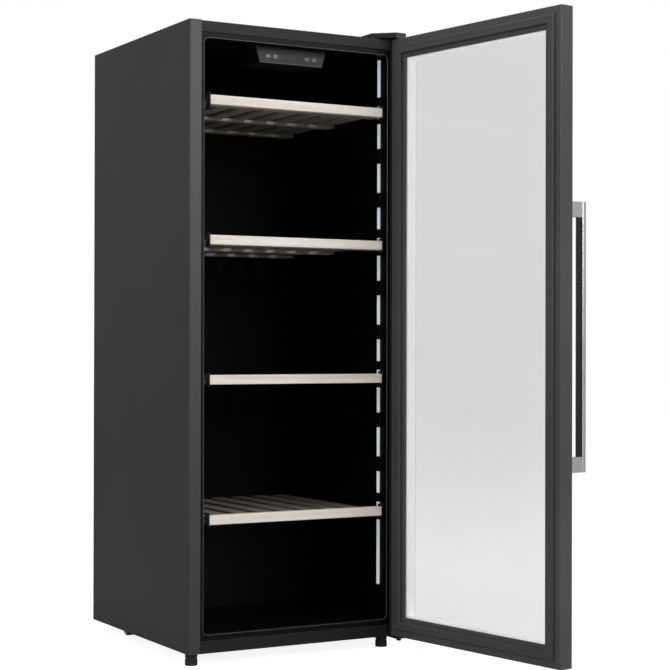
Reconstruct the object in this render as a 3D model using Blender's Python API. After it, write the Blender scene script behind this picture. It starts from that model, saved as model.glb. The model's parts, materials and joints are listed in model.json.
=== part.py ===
"""Tall free-standing wine cooler: a double-skinned cabinet, a glass door on the right-hand hinges and four
sliding shelves. Metres, +Z up, front towards -Y. The door stands open at rest."""
import math

import bmesh
import bpy
from mathutils import Matrix, Vector

# Overall sizes
WIDTH = 0.595
DEPTH = 0.615
HEIGHT = 1.528
FOOT_HEIGHT = 0.027

# Sheet metal and fits
SHEET = 0.001
TOUCH = 0.0003
TOP_DROP = 0.0015

# Front face of the cabinet
STILE_WIDTH = 0.031
STILE_RETURN = 0.010
STILE_RADIUS = 0.003
REAR_FLANGE = 0.012
OPENING_SIDE = 0.039
OPENING_END = 0.042
OPENING_RADIUS = 0.012
RAIL_SETBACK = 0.0006
TOP_RAIL_HEIGHT = 0.026
BOTTOM_RAIL_HEIGHT = 0.030
FLANGE_GROOVE = 0.0015
FLANGE_SETBACK = 0.0012

# Liner and insulation
LINER = 0.0018
LINER_LIP = 0.0005
BACK_SPACE = 0.062
DUCT_SHEET = 0.002
PLENUM_DEPTH = 0.022
STEP_CLEARANCE = 0.0015
STEP_WALL = 0.040
STEP_ROOF = 0.035

# Shelves
SHELF_COUNT = 4
FIRST_SHELF_DROP = 0.137
LOWEST_SHELF = 0.359
BOARD_HEIGHT = 0.023
BOARD_THICKNESS = 0.020
BOARD_END_GAP = 0.0165
BOARD_PROUD = 0.001
SLAT_COUNT = 8
SLAT_WIDTH = 0.038
SLAT_THICKNESS = 0.006
SLAT_DROP = 0.010
CROSSBAR_DEPTH = 0.030
CROSSBAR_MIDDLE_SHARE = 0.508
CROSSBAR_END_GAP = 0.003
DECK_BACK_GAP = 0.018
SLAT_SINK = 0.001

# Moulded ledges on the liner's side walls
LEDGE_REACH = 0.0115
LEDGE_HEIGHT = 0.012
LEDGE_CLEARANCE = 0.0006
GUIDE_CLEARANCE = 0.010
GUIDE_HEIGHT = 0.022
PAD_HEIGHT = 0.0375
PAD_DROP = 0.006
PADS_PER_BAY = 2
LEDGE_FRONT = 0.024
LEDGE_BACK_GAP = 0.030

# Light strips
LIGHT_CENTRE = 0.0423
LIGHT_WIDTH = 0.010
LIGHT_THICKNESS = 0.003
LIGHT_TOP_GAP = 0.007
LIGHT_BOTTOM_GAP = 0.087
CHANNEL_SINK = 0.0004

# Duct panel vents
VENT_MARGIN = 0.044
VENT_PITCH = 0.0152
VENT_SLOT = 0.0065
VENT_HEIGHT = 0.050
VENT_DROP = 0.106
VENT_ROW_LIFT = 0.0055

# Fan, evaporator and condenser
FAN_RADIUS = 0.046
FAN_HUB = 0.016
FAN_DEPTH = 0.010
FAN_BLADES = 5
FAN_BLADE_SHEET = 0.002
FAN_BLADE_PITCH = 55.0
FAN_TIP_GAP = 0.003
SHROUD_SIZE = 0.120
SHROUD_SHEET = 0.0025
TUBE_RADIUS = 0.004
EVAPORATOR_RUNS = 9
EVAPORATOR_PITCH = 0.046
EVAPORATOR_WIDTH = 0.38
CONDENSER_RUNS = 6
CONDENSER_PITCH = 0.030
CONDENSER_WIDTH = 0.22

# Control panel
PANEL_TOP_WIDTH = 0.196
PANEL_BOTTOM_WIDTH = 0.176
PANEL_HEIGHT = 0.040
PANEL_FACE = 0.042
PANEL_DEPTH = 0.100
KEY_WIDTH = 0.014
KEY_HEIGHT = 0.010
KEY_DEPTH = 0.005
KEY_PROUD = 0.0012
KEY_PLAY = 0.0004
KEY_POCKET = 0.007
KEY_PAIR_PITCH = 0.021
KEY_PAIR_OFFSET = 0.055
KEY_LEVEL = 0.42
DISPLAY_WIDTH = 0.036
DISPLAY_HEIGHT = 0.016
DISPLAY_THICKNESS = 0.0015

# Machine compartment
COMPRESSOR_RADIUS = 0.066
COMPRESSOR_HEIGHT = 0.150
COMPRESSOR_WALL = 0.004
CROWN_SHARE = 0.25
CROWN_STEPS = 5
COMPRESSOR_X = 0.130
COMPRESSOR_CLEARANCE = 0.01295
TRAY_UPSTAND = 0.022
DRIP_TRAY_SHARE = 0.9
DRIP_TRAY_WALL = 0.002
DRIP_TRAY_DEPTH = 0.018
INLET_RADIUS = 0.010
INLET_NECK = 0.006
INLET_BORE = 0.0045
INLET_LENGTH = 0.016
INLET_X = -0.215
INLET_SEGMENTS = 16

# Feet and rollers
FOOT_RADIUS = 0.015
FOOT_BASE = 0.015
FOOT_TAPER = 0.003
FOOT_STEM = 0.0125
LEFT_FOOT_INSET = 0.016
RIGHT_FOOT_INSET = 0.045
FOOT_SETBACK = 0.018
ROLLER_RADIUS = 0.0120
ROLLER_WIDTH = 0.018
ROLLER_INSET = 0.050
ROLLER_SETBACK = 0.135
AXLE_RADIUS = 0.003
BRACKET_SHEET = 0.002

# Door
DOOR_END_GAP = 0.0025
DOOR_THICKNESS = 0.040
DOOR_GAP = 0.0075
DOOR_REST_DEGREES = 99.0
PIVOT_INSET = 0.0155
PIVOT_FRONT = 0.0205
FRAME_WIDTH = 0.050
FRAME_WALL = 0.0025
FRAME_LIP = 0.018
GASKET_WIDTH = 0.021
GASKET_CLEARANCE = 0.0005
TRIM_SETBACK = 0.0012
TRIM_THICKNESS = 0.004
TRIM_INNER_EDGE = 0.0517
GLASS_THICKNESS = 0.004
GLASS_EDGE = 0.030
SPACER_EDGE = 0.036
SPACER_WIDTH = 0.012

# Hinges
PIN_RADIUS = 0.004
PIN_REACH = 0.012
BUSH_RADIUS = 0.007
BUSH_FLANGE = 0.0006
PIN_PLAY = 0.00015
HINGE_PLATE = 0.003
HINGE_LENGTH = 0.070
HINGE_WIDTH = 0.080
HINGE_LOWER_GAP = 0.001
HINGE_NOSE = 0.012
HINGE_NOSE_WIDTH = 0.018
HINGE_COVER_HEIGHT = 0.009

# Handle
HANDLE_LENGTH = 0.628
HANDLE_PROJECTION = 0.0558
HANDLE_BAR_DEPTH = 0.0118
HANDLE_BAR_WIDTH = 0.020
HANDLE_INSET = 0.011
HANDLE_POST_HEIGHT = 0.036
HANDLE_INSERT_DEPTH = 0.019
HANDLE_INSERT_WALL = 0.003
HANDLE_SIDE_STEP = 0.001

# Rounding
ROUND_SEGMENTS = 24
SMOOTH_DEGREES = 35.0
EDGE_ROUND = 0.0015

# Levels and planes that several pieces share
FLOOR_OF_BODY = FOOT_HEIGHT
TOP_OF_BODY = FOOT_HEIGHT + HEIGHT
HALF_WIDTH = WIDTH / 2
OPENING_HALF = HALF_WIDTH - OPENING_SIDE
OPENING_BOTTOM = FLOOR_OF_BODY + OPENING_END
OPENING_TOP = TOP_OF_BODY - OPENING_END
CAVITY_HALF = OPENING_HALF + LINER_LIP
CAVITY_BOTTOM = OPENING_BOTTOM - LINER_LIP
CAVITY_TOP = OPENING_TOP + LINER_LIP
DUCT_FACE = DEPTH - BACK_SPACE
CAVITY_BACK = DUCT_FACE + DUCT_SHEET + PLENUM_DEPTH
FLANGE_BACK = FLANGE_SETBACK + LINER
SHELF_PITCH = (OPENING_TOP - FIRST_SHELF_DROP - LOWEST_SHELF) / (SHELF_COUNT - 1)
SHELF_TOPS = [OPENING_TOP - FIRST_SHELF_DROP - i * SHELF_PITCH for i in range(SHELF_COUNT)]
STEP_TOP = SHELF_TOPS[-1] - BOARD_HEIGHT - LEDGE_CLEARANCE - LEDGE_HEIGHT - STEP_CLEARANCE
MACHINE_FRONT = DEPTH - SHEET - 2 * (COMPRESSOR_RADIUS + COMPRESSOR_CLEARANCE)
LOWER_DEPTH = MACHINE_FRONT - STEP_WALL - TOUCH - LINER
MACHINE_ROOF = STEP_TOP - LINER - TOUCH - STEP_ROOF
DOOR_BOTTOM = FLOOR_OF_BODY + DOOR_END_GAP
DOOR_TOP = TOP_OF_BODY - DOOR_END_GAP
PIVOT = Vector((HALF_WIDTH - PIVOT_INSET, -PIVOT_FRONT, 0.0))
DOOR_INNER = PIVOT_FRONT - DOOR_GAP
DOOR_OUTER = DOOR_INNER - DOOR_THICKNESS
DOOR_HINGE_EDGE = PIVOT_INSET
DOOR_FREE_EDGE = PIVOT_INSET - WIDTH


# ---------------------------------------------------------------- scene and materials
def clear_scene():
    for obj in list(bpy.data.objects):
        bpy.data.objects.remove(obj, do_unlink=True)


def principled(name, color, roughness, metallic=0.0, transmission=0.0):
    mat = bpy.data.materials.get(name) or bpy.data.materials.new(name)
    mat.use_nodes = True
    shader = mat.node_tree.nodes["Principled BSDF"]
    shader.inputs["Base Color"].default_value = (*color, 1.0)
    shader.inputs["Roughness"].default_value = roughness
    shader.inputs["Metallic"].default_value = metallic
    shader.inputs["Transmission Weight"].default_value = transmission
    mat.diffuse_color = (*color, 1.0)
    return mat


def body_paint():
    return principled("body_paint", (0.048, 0.048, 0.052), 0.45)


def rail_paint():
    return principled("rail_paint", (0.036, 0.036, 0.039), 0.5)


def door_paint():
    return principled("door_paint", (0.075, 0.075, 0.080), 0.42)


def galvanised_steel():
    return principled("galvanised_steel", (0.45, 0.46, 0.47), 0.45, metallic=1.0)


def black_steel():
    return principled("black_steel", (0.02, 0.02, 0.021), 0.5)


def foam_yellow():
    return principled("foam", (0.72, 0.62, 0.38), 0.9)


def liner_plastic():
    return principled("liner_plastic", (0.008, 0.008, 0.009), 0.4)


def duct_plastic():
    return principled("duct_plastic", (0.010, 0.010, 0.011), 0.5)


def fan_plastic():
    return principled("fan_plastic", (0.014, 0.014, 0.015), 0.5)


def copper():
    return principled("copper", (0.72, 0.35, 0.20), 0.3, metallic=1.0)


def coated_tube():
    return principled("coated_tube", (0.015, 0.015, 0.015), 0.5)


def light_diffuser():
    return principled("light_diffuser", (0.82, 0.86, 0.92), 0.35)


def panel_plastic():
    return principled("panel_plastic", (0.030, 0.030, 0.033), 0.35)


def key_plastic():
    return principled("key_plastic", (0.050, 0.050, 0.055), 0.4)


def display_glass():
    return principled("display_glass", (0.004, 0.005, 0.007), 0.1)


def foot_rubber():
    return principled("foot_rubber", (0.012, 0.012, 0.012), 0.7)


def bush_nylon():
    return principled("bush_nylon", (0.05, 0.05, 0.05), 0.5)


def window_glass():
    return principled("window_glass", (0.80, 0.82, 0.83), 0.03, transmission=0.9)


def spacer_metal():
    return principled("spacer_metal", (0.05, 0.05, 0.05), 0.5, metallic=1.0)


def trim_plastic():
    return principled("trim_plastic", (0.070, 0.070, 0.074), 0.5)


def gasket_vinyl():
    return principled("gasket_vinyl", (0.065, 0.065, 0.068), 0.6)


def brushed_aluminium():
    return principled("brushed_aluminium", (0.62, 0.63, 0.65), 0.28, metallic=1.0)


def insert_plastic():
    return principled("insert_plastic", (0.012, 0.012, 0.013), 0.4)


def beech():
    return principled("beech", (0.80, 0.72, 0.62), 0.55)


# ---------------------------------------------------------------- shape helpers
def empty(name, parent=None, location=(0.0, 0.0, 0.0), turn=0.0):
    obj = bpy.data.objects.new(name, None)
    bpy.context.scene.collection.objects.link(obj)
    obj.parent = parent
    obj.location = location
    obj.rotation_euler = (0.0, 0.0, turn)
    return obj


def mesh_object(name, bm):
    bmesh.ops.recalc_face_normals(bm, faces=bm.faces)
    mesh = bpy.data.meshes.new(name)
    bm.to_mesh(mesh)
    bm.free()
    obj = bpy.data.objects.new(name, mesh)
    bpy.context.scene.collection.objects.link(obj)
    return obj


def finish(obj, mat, parent, origin=(0.0, 0.0, 0.0), smooth=False):
    """Give a solid its material and parent, and move its origin to the given point of the parent's frame."""
    origin = Vector(origin)
    obj.data.transform(Matrix.Translation(-origin))
    obj.location = origin
    obj.parent = parent
    obj.data.materials.clear()
    obj.data.materials.append(mat)
    if smooth:
        obj.data.shade_smooth()
        obj.data.set_sharp_from_angle(angle=math.radians(SMOOTH_DEGREES))
    return obj


def along(axis, a, b, c):
    """Place outline coordinates a, b and the height c along the named axis."""
    places = {"x": (c, a, b), "y": (a, c, b), "z": (a, b, c)}
    return places[axis]


def add_prism(bm, outline, axis, start, stop):
    rings = [[bm.verts.new(along(axis, a, b, c)) for a, b in outline] for c in (start, stop)]
    bm.faces.new(rings[0])
    bm.faces.new(rings[1])
    for i in range(len(outline)):
        j = (i + 1) % len(outline)
        bm.faces.new((rings[0][i], rings[0][j], rings[1][j], rings[1][i]))


def prism(name, outline, axis, start, stop):
    bm = bmesh.new()
    add_prism(bm, outline, axis, start, stop)
    return mesh_object(name, bm)


def rectangle(a0, a1, b0, b1):
    return [(a0, b0), (a1, b0), (a1, b1), (a0, b1)]


def blocks(name, boxes):
    """One mesh of separate boxes, each ((x0, x1), (y0, y1), (z0, z1))."""
    bm = bmesh.new()
    for (x0, x1), (y0, y1), (z0, z1) in boxes:
        add_prism(bm, rectangle(x0, x1, y0, y1), "z", z0, z1)
    return mesh_object(name, bm)


def block(name, xs, ys, zs):
    return blocks(name, [(xs, ys, zs)])


def rounded(outline, radii, steps=4):
    """Replace each corner of an outline by an arc of its radius."""
    points = []
    count = len(outline)
    for i, radius in enumerate(radii):
        corner = Vector(outline[i])
        if radius <= 0.0:
            points.append(tuple(corner))
            continue
        before = (Vector(outline[i - 1]) - corner).normalized()
        after = (Vector(outline[(i + 1) % count]) - corner).normalized()
        half = before.angle(after) / 2
        centre = corner + (before + after).normalized() * (radius / math.sin(half))
        first = corner + before * (radius / math.tan(half)) - centre
        last = corner + after * (radius / math.tan(half)) - centre
        for k in range(steps + 1):
            blend = k / steps
            spoke = first * math.sin((1 - blend) * (math.pi - 2 * half))
            spoke += last * math.sin(blend * (math.pi - 2 * half))
            points.append(tuple(centre + spoke.normalized() * radius))
    return points


def frame_ring(name, outer, inner, axis, start, stop):
    """A closed ring between two outlines with the same number of corners."""
    bm = bmesh.new()
    loops = []
    for outline, c in ((outer, start), (inner, start), (inner, stop), (outer, stop)):
        loops.append([bm.verts.new(along(axis, a, b, c)) for a, b in outline])
    for k in range(4):
        here, there = loops[k], loops[(k + 1) % 4]
        for i in range(len(outer)):
            j = (i + 1) % len(outer)
            bm.faces.new((here[i], here[j], there[j], there[i]))
    return mesh_object(name, bm)


def turned(name, profile, axis="z", closed=False, segments=ROUND_SEGMENTS):
    """Turn a profile of (radius, height) points. An open profile starts and ends on the axis."""
    bm = bmesh.new()
    rings = []
    for radius, height in profile:
        if radius == 0.0:
            rings.append([bm.verts.new(along(axis, 0.0, 0.0, height))])
            continue
        ring = []
        for k in range(segments):
            angle = 2 * math.pi * k / segments
            ring.append(bm.verts.new(along(axis, radius * math.cos(angle), radius * math.sin(angle), height)))
        rings.append(ring)
    pairs = list(zip(rings, rings[1:]))
    if closed:
        pairs.append((rings[-1], rings[0]))
    for low, high in pairs:
        for k in range(segments):
            m = (k + 1) % segments
            corners = [low[k % len(low)], low[m % len(low)], high[m % len(high)], high[k % len(high)]]
            bm.faces.new(list(dict.fromkeys(corners)))
    return mesh_object(name, bm)


def applied(obj, operation, other):
    """Combine two solids by an exact Boolean, keep the result on the first and remove the second."""
    modifier = obj.modifiers.new("boolean", "BOOLEAN")
    modifier.operation = operation
    modifier.object = other
    modifier.solver = "EXACT"
    graph = bpy.context.evaluated_depsgraph_get()
    mesh = bpy.data.meshes.new_from_object(obj.evaluated_get(graph))
    obj.modifiers.clear()
    obj.data = mesh
    bpy.data.objects.remove(other, do_unlink=True)
    return obj


def cut(obj, cutter):
    return applied(obj, "DIFFERENCE", cutter)


def join(obj, other):
    return applied(obj, "UNION", other)


def soften(obj, width=EDGE_ROUND, segments=2):
    modifier = obj.modifiers.new("bevel", "BEVEL")
    modifier.width = width
    modifier.segments = segments
    modifier.limit_method = "ANGLE"
    modifier.angle_limit = math.radians(SMOOTH_DEGREES)
    return obj


def mirrored(outline):
    return [(-a, b) for a, b in outline]


def tube(name, points, radius):
    """A round bar along a smooth path of points."""
    curve = bpy.data.curves.new(name, "CURVE")
    curve.dimensions = "3D"
    curve.bevel_depth = radius
    curve.bevel_resolution = 1
    curve.use_fill_caps = True
    spline = curve.splines.new("POLY")
    spline.points.add(len(points) - 1)
    for point, place in zip(spline.points, points):
        point.co = (*place, 1.0)
    obj = bpy.data.objects.new(name, curve)
    bpy.context.scene.collection.objects.link(obj)
    graph = bpy.context.evaluated_depsgraph_get()
    bm = bmesh.new()
    bm.from_mesh(bpy.data.meshes.new_from_object(obj.evaluated_get(graph)))
    bmesh.ops.remove_doubles(bm, verts=bm.verts, dist=0.00001)
    bpy.data.objects.remove(obj, do_unlink=True)
    return mesh_object(name, bm)


def serpentine(runs, pitch, width, steps=5):
    """Points (across, up) of a tube that runs to and fro, centred on the origin, with round return bends."""
    points = []
    half = width / 2 - pitch / 2
    low = -pitch * (runs - 1) / 2
    for run in range(runs):
        side = 1 if run % 2 == 0 else -1
        level = low + run * pitch
        points.append((-side * half, level))
        points.append((side * half, level))
        if run == runs - 1:
            break
        for k in range(1, steps):
            angle = math.pi * k / steps - math.pi / 2
            across = side * (half + pitch / 2 * math.cos(angle))
            points.append((across, level + pitch / 2 + pitch / 2 * math.sin(angle)))
    return points


# ---------------------------------------------------------------- cabinet shell
def side_outline():
    """Plan of the left side panel: a front stile folded back at its inner edge, and a rear flange."""
    left = -HALF_WIDTH
    inner = left + STILE_WIDTH
    outline = [
        (left, DEPTH),
        (left, 0.0),
        (inner, 0.0),
        (inner, STILE_RETURN),
        (inner - SHEET, STILE_RETURN),
        (inner - SHEET, SHEET),
        (left + SHEET, SHEET),
        (left + SHEET, DEPTH - SHEET),
        (left + REAR_FLANGE, DEPTH - SHEET),
        (left + REAR_FLANGE, DEPTH),
    ]
    radii = [0.0] * len(outline)
    radii[1] = STILE_RADIUS
    radii[6] = STILE_RADIUS - SHEET
    return rounded(outline, radii)


def side_panels(parent):
    for side, outline in (("left", side_outline()), ("right", mirrored(side_outline()))):
        panel = prism(f"side_panel_{side}", outline, "z", FLOOR_OF_BODY, TOP_OF_BODY)
        finish(panel, body_paint(), parent, smooth=True)


def deck_outline(back):
    """Plan of the top and bottom sheets, tucked between the side panels and behind the front rails."""
    wide = HALF_WIDTH - SHEET - TOUCH
    narrow = HALF_WIDTH - STILE_WIDTH + SHEET + TOUCH
    front = STILE_RADIUS + TOUCH
    behind = STILE_RETURN + TOUCH
    left = [(-wide, front), (-narrow, front), (-narrow, behind)]
    right = [(-a, b) for a, b in reversed(left)]
    return left + right + [(wide, back), (-wide, back)]


def top_panel(parent):
    top = TOP_OF_BODY - TOP_DROP
    back = DEPTH - SHEET - TOUCH
    panel = prism("top_panel", deck_outline(back), "z", top - SHEET, top)
    finish(panel, body_paint(), parent)


def bottom_pan(parent):
    back = MACHINE_FRONT - TOUCH
    pan = prism("bottom_pan", deck_outline(back), "z", FLOOR_OF_BODY, FLOOR_OF_BODY + SHEET)
    finish(pan, galvanised_steel(), parent)


def back_panel(parent):
    wide = HALF_WIDTH - SHEET - TOUCH
    back = DEPTH - SHEET - TOUCH
    top = TOP_OF_BODY - TOP_DROP - SHEET - TOUCH
    panel = block("back_panel", (-wide, wide), (back - SHEET, back), (MACHINE_ROOF, top))
    finish(panel, galvanised_steel(), parent)


def front_rails(parent):
    """Angle sections between the stiles, above and below the opening."""
    half = HALF_WIDTH - STILE_WIDTH - TOUCH
    front = RAIL_SETBACK
    top = TOP_OF_BODY - TOP_DROP
    bottom = FLOOR_OF_BODY
    upper = [(front, top), (STILE_RETURN, top), (STILE_RETURN, top - SHEET), (front + SHEET, top - SHEET)]
    upper += [(front + SHEET, top - TOP_RAIL_HEIGHT), (front, top - TOP_RAIL_HEIGHT)]
    lower = [(front, bottom), (STILE_RETURN, bottom), (STILE_RETURN, bottom + SHEET)]
    lower += [(front + SHEET, bottom + SHEET), (front + SHEET, bottom + BOTTOM_RAIL_HEIGHT)]
    lower += [(front, bottom + BOTTOM_RAIL_HEIGHT)]
    for name, outline in (("front_top_rail", upper), ("front_bottom_rail", lower)):
        finish(prism(name, outline, "x", -half, half), rail_paint(), parent)


# ---------------------------------------------------------------- liner and insulation
def stepped_outline(front, grow):
    """Side view of the compartment, grown on every side but the front, with the step over the machinery."""
    return [
        (front, CAVITY_BOTTOM - grow),
        (LOWER_DEPTH + grow, CAVITY_BOTTOM - grow),
        (LOWER_DEPTH + grow, STEP_TOP - grow),
        (CAVITY_BACK + grow, STEP_TOP - grow),
        (CAVITY_BACK + grow, CAVITY_TOP + grow),
        (front, CAVITY_TOP + grow),
    ]


def foam_insulation(parent):
    half = HALF_WIDTH - SHEET - TOUCH
    front = STILE_RETURN + TOUCH
    back = DEPTH - 2 * (SHEET + TOUCH) - TOUCH
    bottom = FLOOR_OF_BODY + SHEET + TOUCH
    top = TOP_OF_BODY - TOP_DROP - SHEET - TOUCH
    outline = [(front, bottom), (MACHINE_FRONT, bottom), (MACHINE_FRONT, MACHINE_ROOF)]
    outline += [(back, MACHINE_ROOF), (back, top), (front, top)]
    foam = prism("foam_insulation", outline, "x", -half, half)
    cavity_half = CAVITY_HALF + LINER + TOUCH
    cavity = prism("cavity", stepped_outline(0.0, LINER + TOUCH), "x", -cavity_half, cavity_half)
    finish(cut(foam, cavity), foam_yellow(), parent)


def ledge_levels():
    """Low and high faces of each moulded bulge on a side wall."""
    levels = []
    for i, top in enumerate(SHELF_TOPS):
        under = top - BOARD_HEIGHT - LEDGE_CLEARANCE
        levels.append((under - LEDGE_HEIGHT, under))
        levels.append((top + GUIDE_CLEARANCE, top + GUIDE_CLEARANCE + GUIDE_HEIGHT))
        if i == SHELF_COUNT - 1:
            continue
        for k in range(1, PADS_PER_BAY + 1):
            middle = top - k * SHELF_PITCH / (PADS_PER_BAY + 1) - PAD_DROP
            levels.append((middle - PAD_HEIGHT / 2, middle + PAD_HEIGHT / 2))
    return levels


def inner_liner(parent):
    outer_half = CAVITY_HALF + LINER
    front = FLANGE_BACK - LINER / 2
    liner = prism("inner_liner", stepped_outline(front, LINER), "x", -outer_half, outer_half)
    flange_half = HALF_WIDTH - STILE_WIDTH - TOUCH
    flange_bottom = FLOOR_OF_BODY + BOTTOM_RAIL_HEIGHT + FLANGE_GROOVE
    flange_top = TOP_OF_BODY - TOP_DROP - TOP_RAIL_HEIGHT - FLANGE_GROOVE
    flange = rectangle(-flange_half, flange_half, flange_bottom, flange_top)
    join(liner, prism("flange", flange, "y", FLANGE_SETBACK, FLANGE_BACK))
    cut(liner, prism("cavity", stepped_outline(FLANGE_BACK, 0.0), "x", -CAVITY_HALF, CAVITY_HALF))
    corners = rectangle(-OPENING_HALF, OPENING_HALF, OPENING_BOTTOM, OPENING_TOP)
    mouth = rounded(corners, [OPENING_RADIUS] * 4)
    cut(liner, prism("mouth", mouth, "y", -LINER, FLANGE_BACK + LINER))
    root = CAVITY_HALF + LINER / 2
    reach = CAVITY_HALF - LEDGE_REACH
    depth = (LEDGE_FRONT, DUCT_FACE - LEDGE_BACK_GAP)
    bulges = []
    for low, high in ledge_levels():
        bulges.append(((reach, root), depth, (low, high)))
        bulges.append(((-root, -reach), depth, (low, high)))
    join(liner, blocks("bulges", bulges))
    face = CAVITY_HALF - LIGHT_THICKNESS - TOUCH
    floor = CAVITY_HALF + CHANNEL_SINK
    span = (light_low() - TOUCH, light_high() + TOUCH)
    width = (LIGHT_CENTRE - LIGHT_WIDTH / 2 - TOUCH, LIGHT_CENTRE + LIGHT_WIDTH / 2 + TOUCH)
    cut(liner, blocks("channels", [((face, floor), width, span), ((-floor, -face), width, span)]))
    finish(liner, liner_plastic(), parent)


def light_low():
    return OPENING_BOTTOM + LIGHT_BOTTOM_GAP


def light_high():
    return OPENING_TOP - LIGHT_TOP_GAP


def light_strips(parent):
    inner = CAVITY_HALF - LIGHT_THICKNESS
    outer = CAVITY_HALF + CHANNEL_SINK - TOUCH
    width = (LIGHT_CENTRE - LIGHT_WIDTH / 2, LIGHT_CENTRE + LIGHT_WIDTH / 2)
    for side, xs in (("left", (-outer, -inner)), ("right", (inner, outer))):
        strip = block(f"led_strip_{side}", xs, width, (light_low(), light_high()))
        finish(strip, light_diffuser(), parent)


def vent_rows():
    """Height of a row of vents below each shelf's top, set a little closer together than the shelves."""
    return [top - VENT_DROP + (i - 1) * VENT_ROW_LIFT for i, top in enumerate(SHELF_TOPS)]


def duct_panel(parent):
    half = CAVITY_HALF - TOUCH
    low, high = STEP_TOP + TOUCH, CAVITY_TOP - TOUCH
    panel = block("duct_panel", (-half, half), (DUCT_FACE, DUCT_FACE + DUCT_SHEET), (low, high))
    count = 2 * int((CAVITY_HALF - VENT_MARGIN) / VENT_PITCH)
    slots = []
    for middle in vent_rows():
        if middle - VENT_HEIGHT < low:
            continue
        for i in range(count):
            x = (i - (count - 1) / 2) * VENT_PITCH
            across = (x - VENT_SLOT / 2, x + VENT_SLOT / 2)
            through = (DUCT_FACE - DUCT_SHEET, DUCT_FACE + 2 * DUCT_SHEET)
            slots.append((across, through, (middle - VENT_HEIGHT / 2, middle + VENT_HEIGHT / 2)))
    finish(cut(panel, blocks("slots", slots)), duct_plastic(), parent)


# ---------------------------------------------------------------- cold side: fan and evaporator
def fan_centre():
    shroud_back = DUCT_FACE + DUCT_SHEET + TOUCH + SHROUD_SHEET
    return Vector((0.0, shroud_back + TOUCH + FAN_DEPTH / 2, (vent_rows()[1] + vent_rows()[2]) / 2))


def fan_shroud(parent):
    centre = fan_centre()
    half = SHROUD_SIZE / 2
    front = DUCT_FACE + DUCT_SHEET + TOUCH
    depth = (front, front + SHROUD_SHEET)
    plate = block("fan_shroud", (-half, half), depth, (centre.z - half, centre.z + half))
    hole = turned("hole", [(0.0, -half), (FAN_RADIUS, -half), (FAN_RADIUS, half), (0.0, half)], "y")
    hole.location = centre
    bpy.context.view_layer.update()
    finish(cut(plate, hole), duct_plastic(), parent)


def fan_rotor(parent):
    """A hub with straight pitched blades, its origin on the shaft's axis."""
    centre = fan_centre()
    half = FAN_DEPTH / 2
    rotor = turned("fan_rotor", [(0.0, -half), (FAN_HUB, -half), (FAN_HUB, half), (0.0, half)], "y")
    tip = FAN_RADIUS - FAN_TIP_GAP
    for k in range(FAN_BLADES):
        blade = block("blade", (FAN_HUB / 2, tip), (-FAN_BLADE_SHEET / 2, FAN_BLADE_SHEET / 2), (-half, half))
        pitch = Matrix.Rotation(math.radians(FAN_BLADE_PITCH), 4, "X")
        turn = Matrix.Rotation(2 * math.pi * k / FAN_BLADES, 4, "Y")
        blade.data.transform(turn @ pitch)
        join(rotor, blade)
    rotor.data.transform(Matrix.Translation(centre))
    finish(rotor, fan_plastic(), parent, origin=centre)


def evaporator_coil(parent):
    y = CAVITY_BACK - TUBE_RADIUS - TOUCH * 2
    top = OPENING_TOP - FIRST_SHELF_DROP
    middle = top - EVAPORATOR_PITCH * (EVAPORATOR_RUNS - 1) / 2 + SHELF_PITCH / 4
    path = [(a, y, middle + b) for a, b in serpentine(EVAPORATOR_RUNS, EVAPORATOR_PITCH, EVAPORATOR_WIDTH)]
    finish(tube("evaporator_coil", path, TUBE_RADIUS), copper(), parent, smooth=True)


# ---------------------------------------------------------------- control panel
def panel_bottom():
    return CAVITY_TOP - TOUCH - PANEL_HEIGHT


def key_places():
    """Name and centre of each key along the panel."""
    near, far = KEY_PAIR_OFFSET - KEY_PAIR_PITCH / 2, KEY_PAIR_OFFSET + KEY_PAIR_PITCH / 2
    return [("power", -far), ("light", -near), ("up", near), ("down", far)]


def panel_middle():
    return panel_bottom() + PANEL_HEIGHT * KEY_LEVEL


def control_housing(parent):
    top, bottom = PANEL_TOP_WIDTH / 2, PANEL_BOTTOM_WIDTH / 2
    low, high = panel_bottom(), CAVITY_TOP - TOUCH
    face = [(-bottom, low), (bottom, low), (top, high), (-top, high)]
    housing = prism("control_housing", face, "y", PANEL_FACE, PANEL_FACE + PANEL_DEPTH)
    middle = panel_middle()
    half_w, half_h = KEY_WIDTH / 2 + KEY_PLAY, KEY_HEIGHT / 2 + KEY_PLAY
    pockets = []
    for _, x in key_places():
        depth = (PANEL_FACE - KEY_POCKET, PANEL_FACE + KEY_POCKET)
        pockets.append(((x - half_w, x + half_w), depth, (middle - half_h, middle + half_h)))
    half_w, half_h = DISPLAY_WIDTH / 2 + TOUCH, DISPLAY_HEIGHT / 2 + TOUCH
    depth = (PANEL_FACE - KEY_POCKET, PANEL_FACE + DISPLAY_THICKNESS + TOUCH)
    pockets.append(((-half_w, half_w), depth, (middle - half_h, middle + half_h)))
    finish(cut(housing, blocks("pockets", pockets)), panel_plastic(), parent)


def display_window(parent):
    middle = panel_middle()
    window = block(
        "display_window",
        (-DISPLAY_WIDTH / 2, DISPLAY_WIDTH / 2),
        (PANEL_FACE, PANEL_FACE + DISPLAY_THICKNESS),
        (middle - DISPLAY_HEIGHT / 2, middle + DISPLAY_HEIGHT / 2),
    )
    finish(window, display_glass(), parent)


def control_keys(parent):
    middle = panel_middle()
    for label, x in key_places():
        front = PANEL_FACE - KEY_PROUD
        centre = (x, front, middle)
        key = block(
            f"key_{label}",
            (x - KEY_WIDTH / 2, x + KEY_WIDTH / 2),
            (front, front + KEY_DEPTH),
            (middle - KEY_HEIGHT / 2, middle + KEY_HEIGHT / 2),
        )
        finish(key, key_plastic(), parent, origin=centre)


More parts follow.
